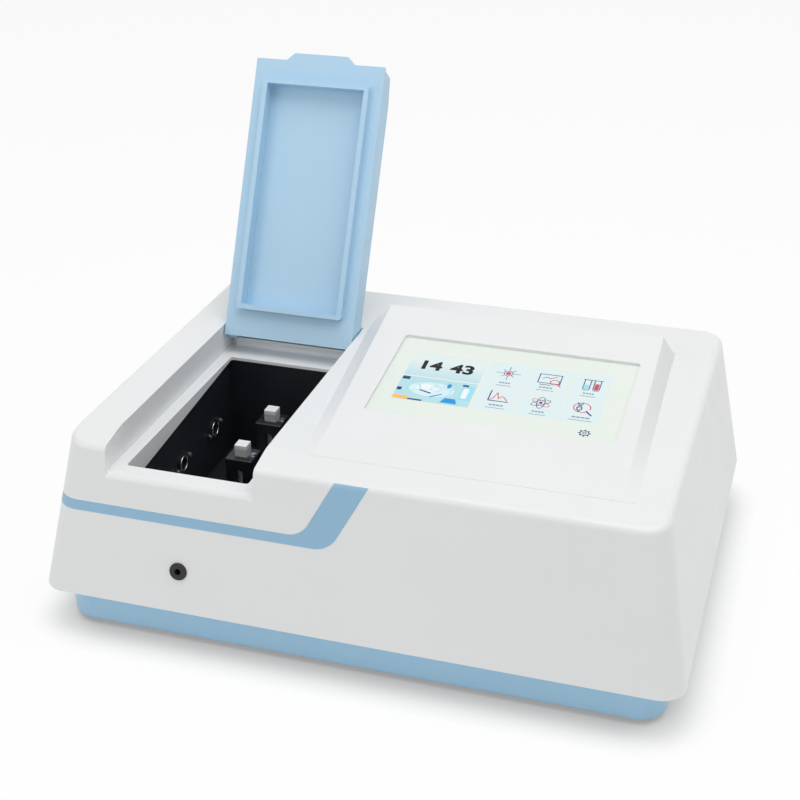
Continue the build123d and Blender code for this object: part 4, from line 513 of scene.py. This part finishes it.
# The picture tile: glassware on a bench, in flat colours
printed("picture_light", [arc(-66.0, -18.0, 22.0, 12.0, 0, 345, 23)], ink_mist, 2)
printed("picture_glow", [arc(-71.0, -17.0, 10.0, 6.5, 0, 345, 23)], ink_white, 3)
flask_u, flask_low = -45.0, -37.5
flask = stroke([(flask_u - 2.5, -14.0), (flask_u - 2.5, -21.0), (flask_u - 9.0, flask_low),
                (flask_u + 9.0, flask_low), (flask_u + 2.5, -21.0), (flask_u + 2.5, -14.0)], 0.7)
printed("picture_flask", flask, ink_sky, 4)
printed("picture_flask_filling", [[(flask_u - 7.8, flask_low + 0.6), (flask_u + 7.8, flask_low + 0.6),
                                   (flask_u + 5.0, -29.0), (flask_u - 5.0, -29.0)]], ink_blue, 3)
printed("picture_drop", panel(-53.0, -12.5, -49.0, -5.0, 1.9), ink_blue, 3)
rings = []
for u, v, radius in ((-71.0, -12.0, 8.0), (-62.0, -16.0, 5.0), (-84.0, -17.0, 6.5), (-50.0, -9.0, 6.0)):
    rings += ellipse_line(u, v, radius, radius, 0.6)
printed("picture_rings", rings, ink_sky, 4)
printed("picture_bottle", panel(-38.5, -29.5, -27.0, -5.0, 2.0), ink_sky, 2)
printed("picture_bottle_light", panel(-36.5, -26.0, -31.0, -9.0, 1.5), ink_white, 3)
printed("picture_bench", panel(-98.5, -39.0, -84.0, -33.5, 1.0), ink_orange, 3)
dark_marks = panel(-84.0, -39.0, -70.0, -36.8, 0.5) + panel(-98.5, -5.5, -91.0, -0.5, 0.5)
dark_marks += panel(-98.5, -25.0, -94.0, -20.0, 0.5) + stroke([(-76.0, -21.0), (-66.0, -24.0)], 1.8)
dark_marks += panel(-39.0, -6.0, -33.0, -3.0, 0.5)
printed("picture_marks", dark_marks, ink_navy, 4)
printed("picture_pipette", stroke([(-64.0, -30.0), (-55.0, -24.0)], 1.6), ink_blue, 3)

# Stage: a pale floor under a white backdrop
FLOOR_HALF = 6.0
floor_mesh = bpy.data.meshes.new("floor")
floor_mesh.from_pydata([(-FLOOR_HALF, -FLOOR_HALF, 0), (FLOOR_HALF, -FLOOR_HALF, 0),
                        (FLOOR_HALF, FLOOR_HALF, 0), (-FLOOR_HALF, FLOOR_HALF, 0)], [], [(0, 1, 2, 3)])
floor = bpy.data.objects.new("floor", floor_mesh)
bpy.context.collection.objects.link(floor)


def seen_ray(tree):
    """1 for rays that show a surface in the picture, a reflection or a glass, 0 for others."""
    path = tree.nodes.new("ShaderNodeLightPath")
    total = path.outputs["Is Camera Ray"]
    for name in ("Is Glossy Ray", "Is Transmission Ray"):
        both = tree.nodes.new("ShaderNodeMath")
        both.operation = "MAXIMUM"
        tree.links.new(total, both.inputs[0])
        tree.links.new(path.outputs[name], both.inputs[1])
        total = both.outputs[0]
    return total


FLOOR_LIFT = 0.88
# Painted contact shadow: the floor's glow, as camera, reflections and glass see it, is dimmed by ambient
# occlusion close to the instrument
PAINTED_SHADOW_REACH = 0.045
PAINTED_SHADOW_DARK = 0.35
floor_material = bpy.data.materials.new("floor_white")
floor_material.use_nodes = True
floor_tree = floor_material.node_tree
floor_shader = floor_tree.nodes["Principled BSDF"]
floor_shader.inputs["Base Color"].default_value = (0.93, 0.93, 0.93, 1.0)
floor_shader.inputs["Roughness"].default_value = 0.9
# Ambient occlusion that paints the contact shadow into the floor's glow
painted_contact_shadow = floor_tree.nodes.new("ShaderNodeAmbientOcclusion")
painted_contact_shadow.inputs["Distance"].default_value = PAINTED_SHADOW_REACH
floor_glow = floor_tree.nodes.new("ShaderNodeEmission")
painted_shadow_glow = map_range(floor_tree, painted_contact_shadow.outputs["AO"], PAINTED_SHADOW_DARK, 1.0, 0.3, 1.0)
floor_tree.links.new(painted_shadow_glow, floor_glow.inputs["Strength"])
floor_mix = floor_tree.nodes.new("ShaderNodeMixShader")
floor_share = floor_tree.nodes.new("ShaderNodeMath")
floor_share.operation = "MULTIPLY"
floor_share.inputs[1].default_value = FLOOR_LIFT
floor_tree.links.new(seen_ray(floor_tree), floor_share.inputs[0])
floor_tree.links.new(floor_share.outputs[0], floor_mix.inputs["Fac"])
floor_tree.links.new(floor_shader.outputs["BSDF"], floor_mix.inputs[1])
floor_tree.links.new(floor_glow.outputs["Emission"], floor_mix.inputs[2])
floor_tree.links.new(floor_mix.outputs["Shader"], floor_tree.nodes["Material Output"].inputs["Surface"])
floor_mesh.materials.append(floor_material)

WORLD_LIGHT = 0.54
world = bpy.data.worlds.new("studio")
bpy.context.scene.world = world
world.use_nodes = True
world_tree = world.node_tree
background = world_tree.nodes["Background"]
world_strength = map_range(world_tree, seen_ray(world_tree), WORLD_LIGHT, 1.0, 0.0, 1.0)
background.inputs["Color"].default_value = (1.0, 1.0, 1.0, 1.0)
world_tree.links.new(world_strength, background.inputs["Strength"])


def area_light(name, place, target, size, power, colour=(1.0, 1.0, 1.0)):
    """A soft square lamp that faces a point."""
    lamp = bpy.data.lights.new(name, "AREA")
    lamp.size = size
    lamp.energy = power
    lamp.color = colour
    holder = bpy.data.objects.new(name, lamp)
    holder.location = place
    holder.rotation_euler = (Vector(target) - Vector(place)).to_track_quat("-Z", "Y").to_euler()
    bpy.context.collection.objects.link(holder)


area_light("lamp_top", (0.1, -0.2, 2.3), (0.0, 0.0, 0.1), 1.6, 19.0)
area_light("lamp_front", (-1.4, -1.8, 1.2), (0.0, 0.0, 0.1), 1.2, 6.0)
area_light("lamp_right", (1.3, 0.0, 2.0), (0.0, 0.0, 0.1), 1.4, 7.0)

# Camera, at the photograph's angle
camera_data = bpy.data.cameras.new("camera")
camera_data.lens = 67.18
camera_data.sensor_width = 36.0
camera = bpy.data.objects.new("camera", camera_data)
camera.location = (0.3677, -1.2533, 0.8269)
camera.rotation_euler = (math.radians(90.0 - 26.63), 0.0, math.radians(17.10))
bpy.context.collection.objects.link(camera)
bpy.context.scene.camera = camera
bpy.context.scene.view_settings.view_transform = "Standard"
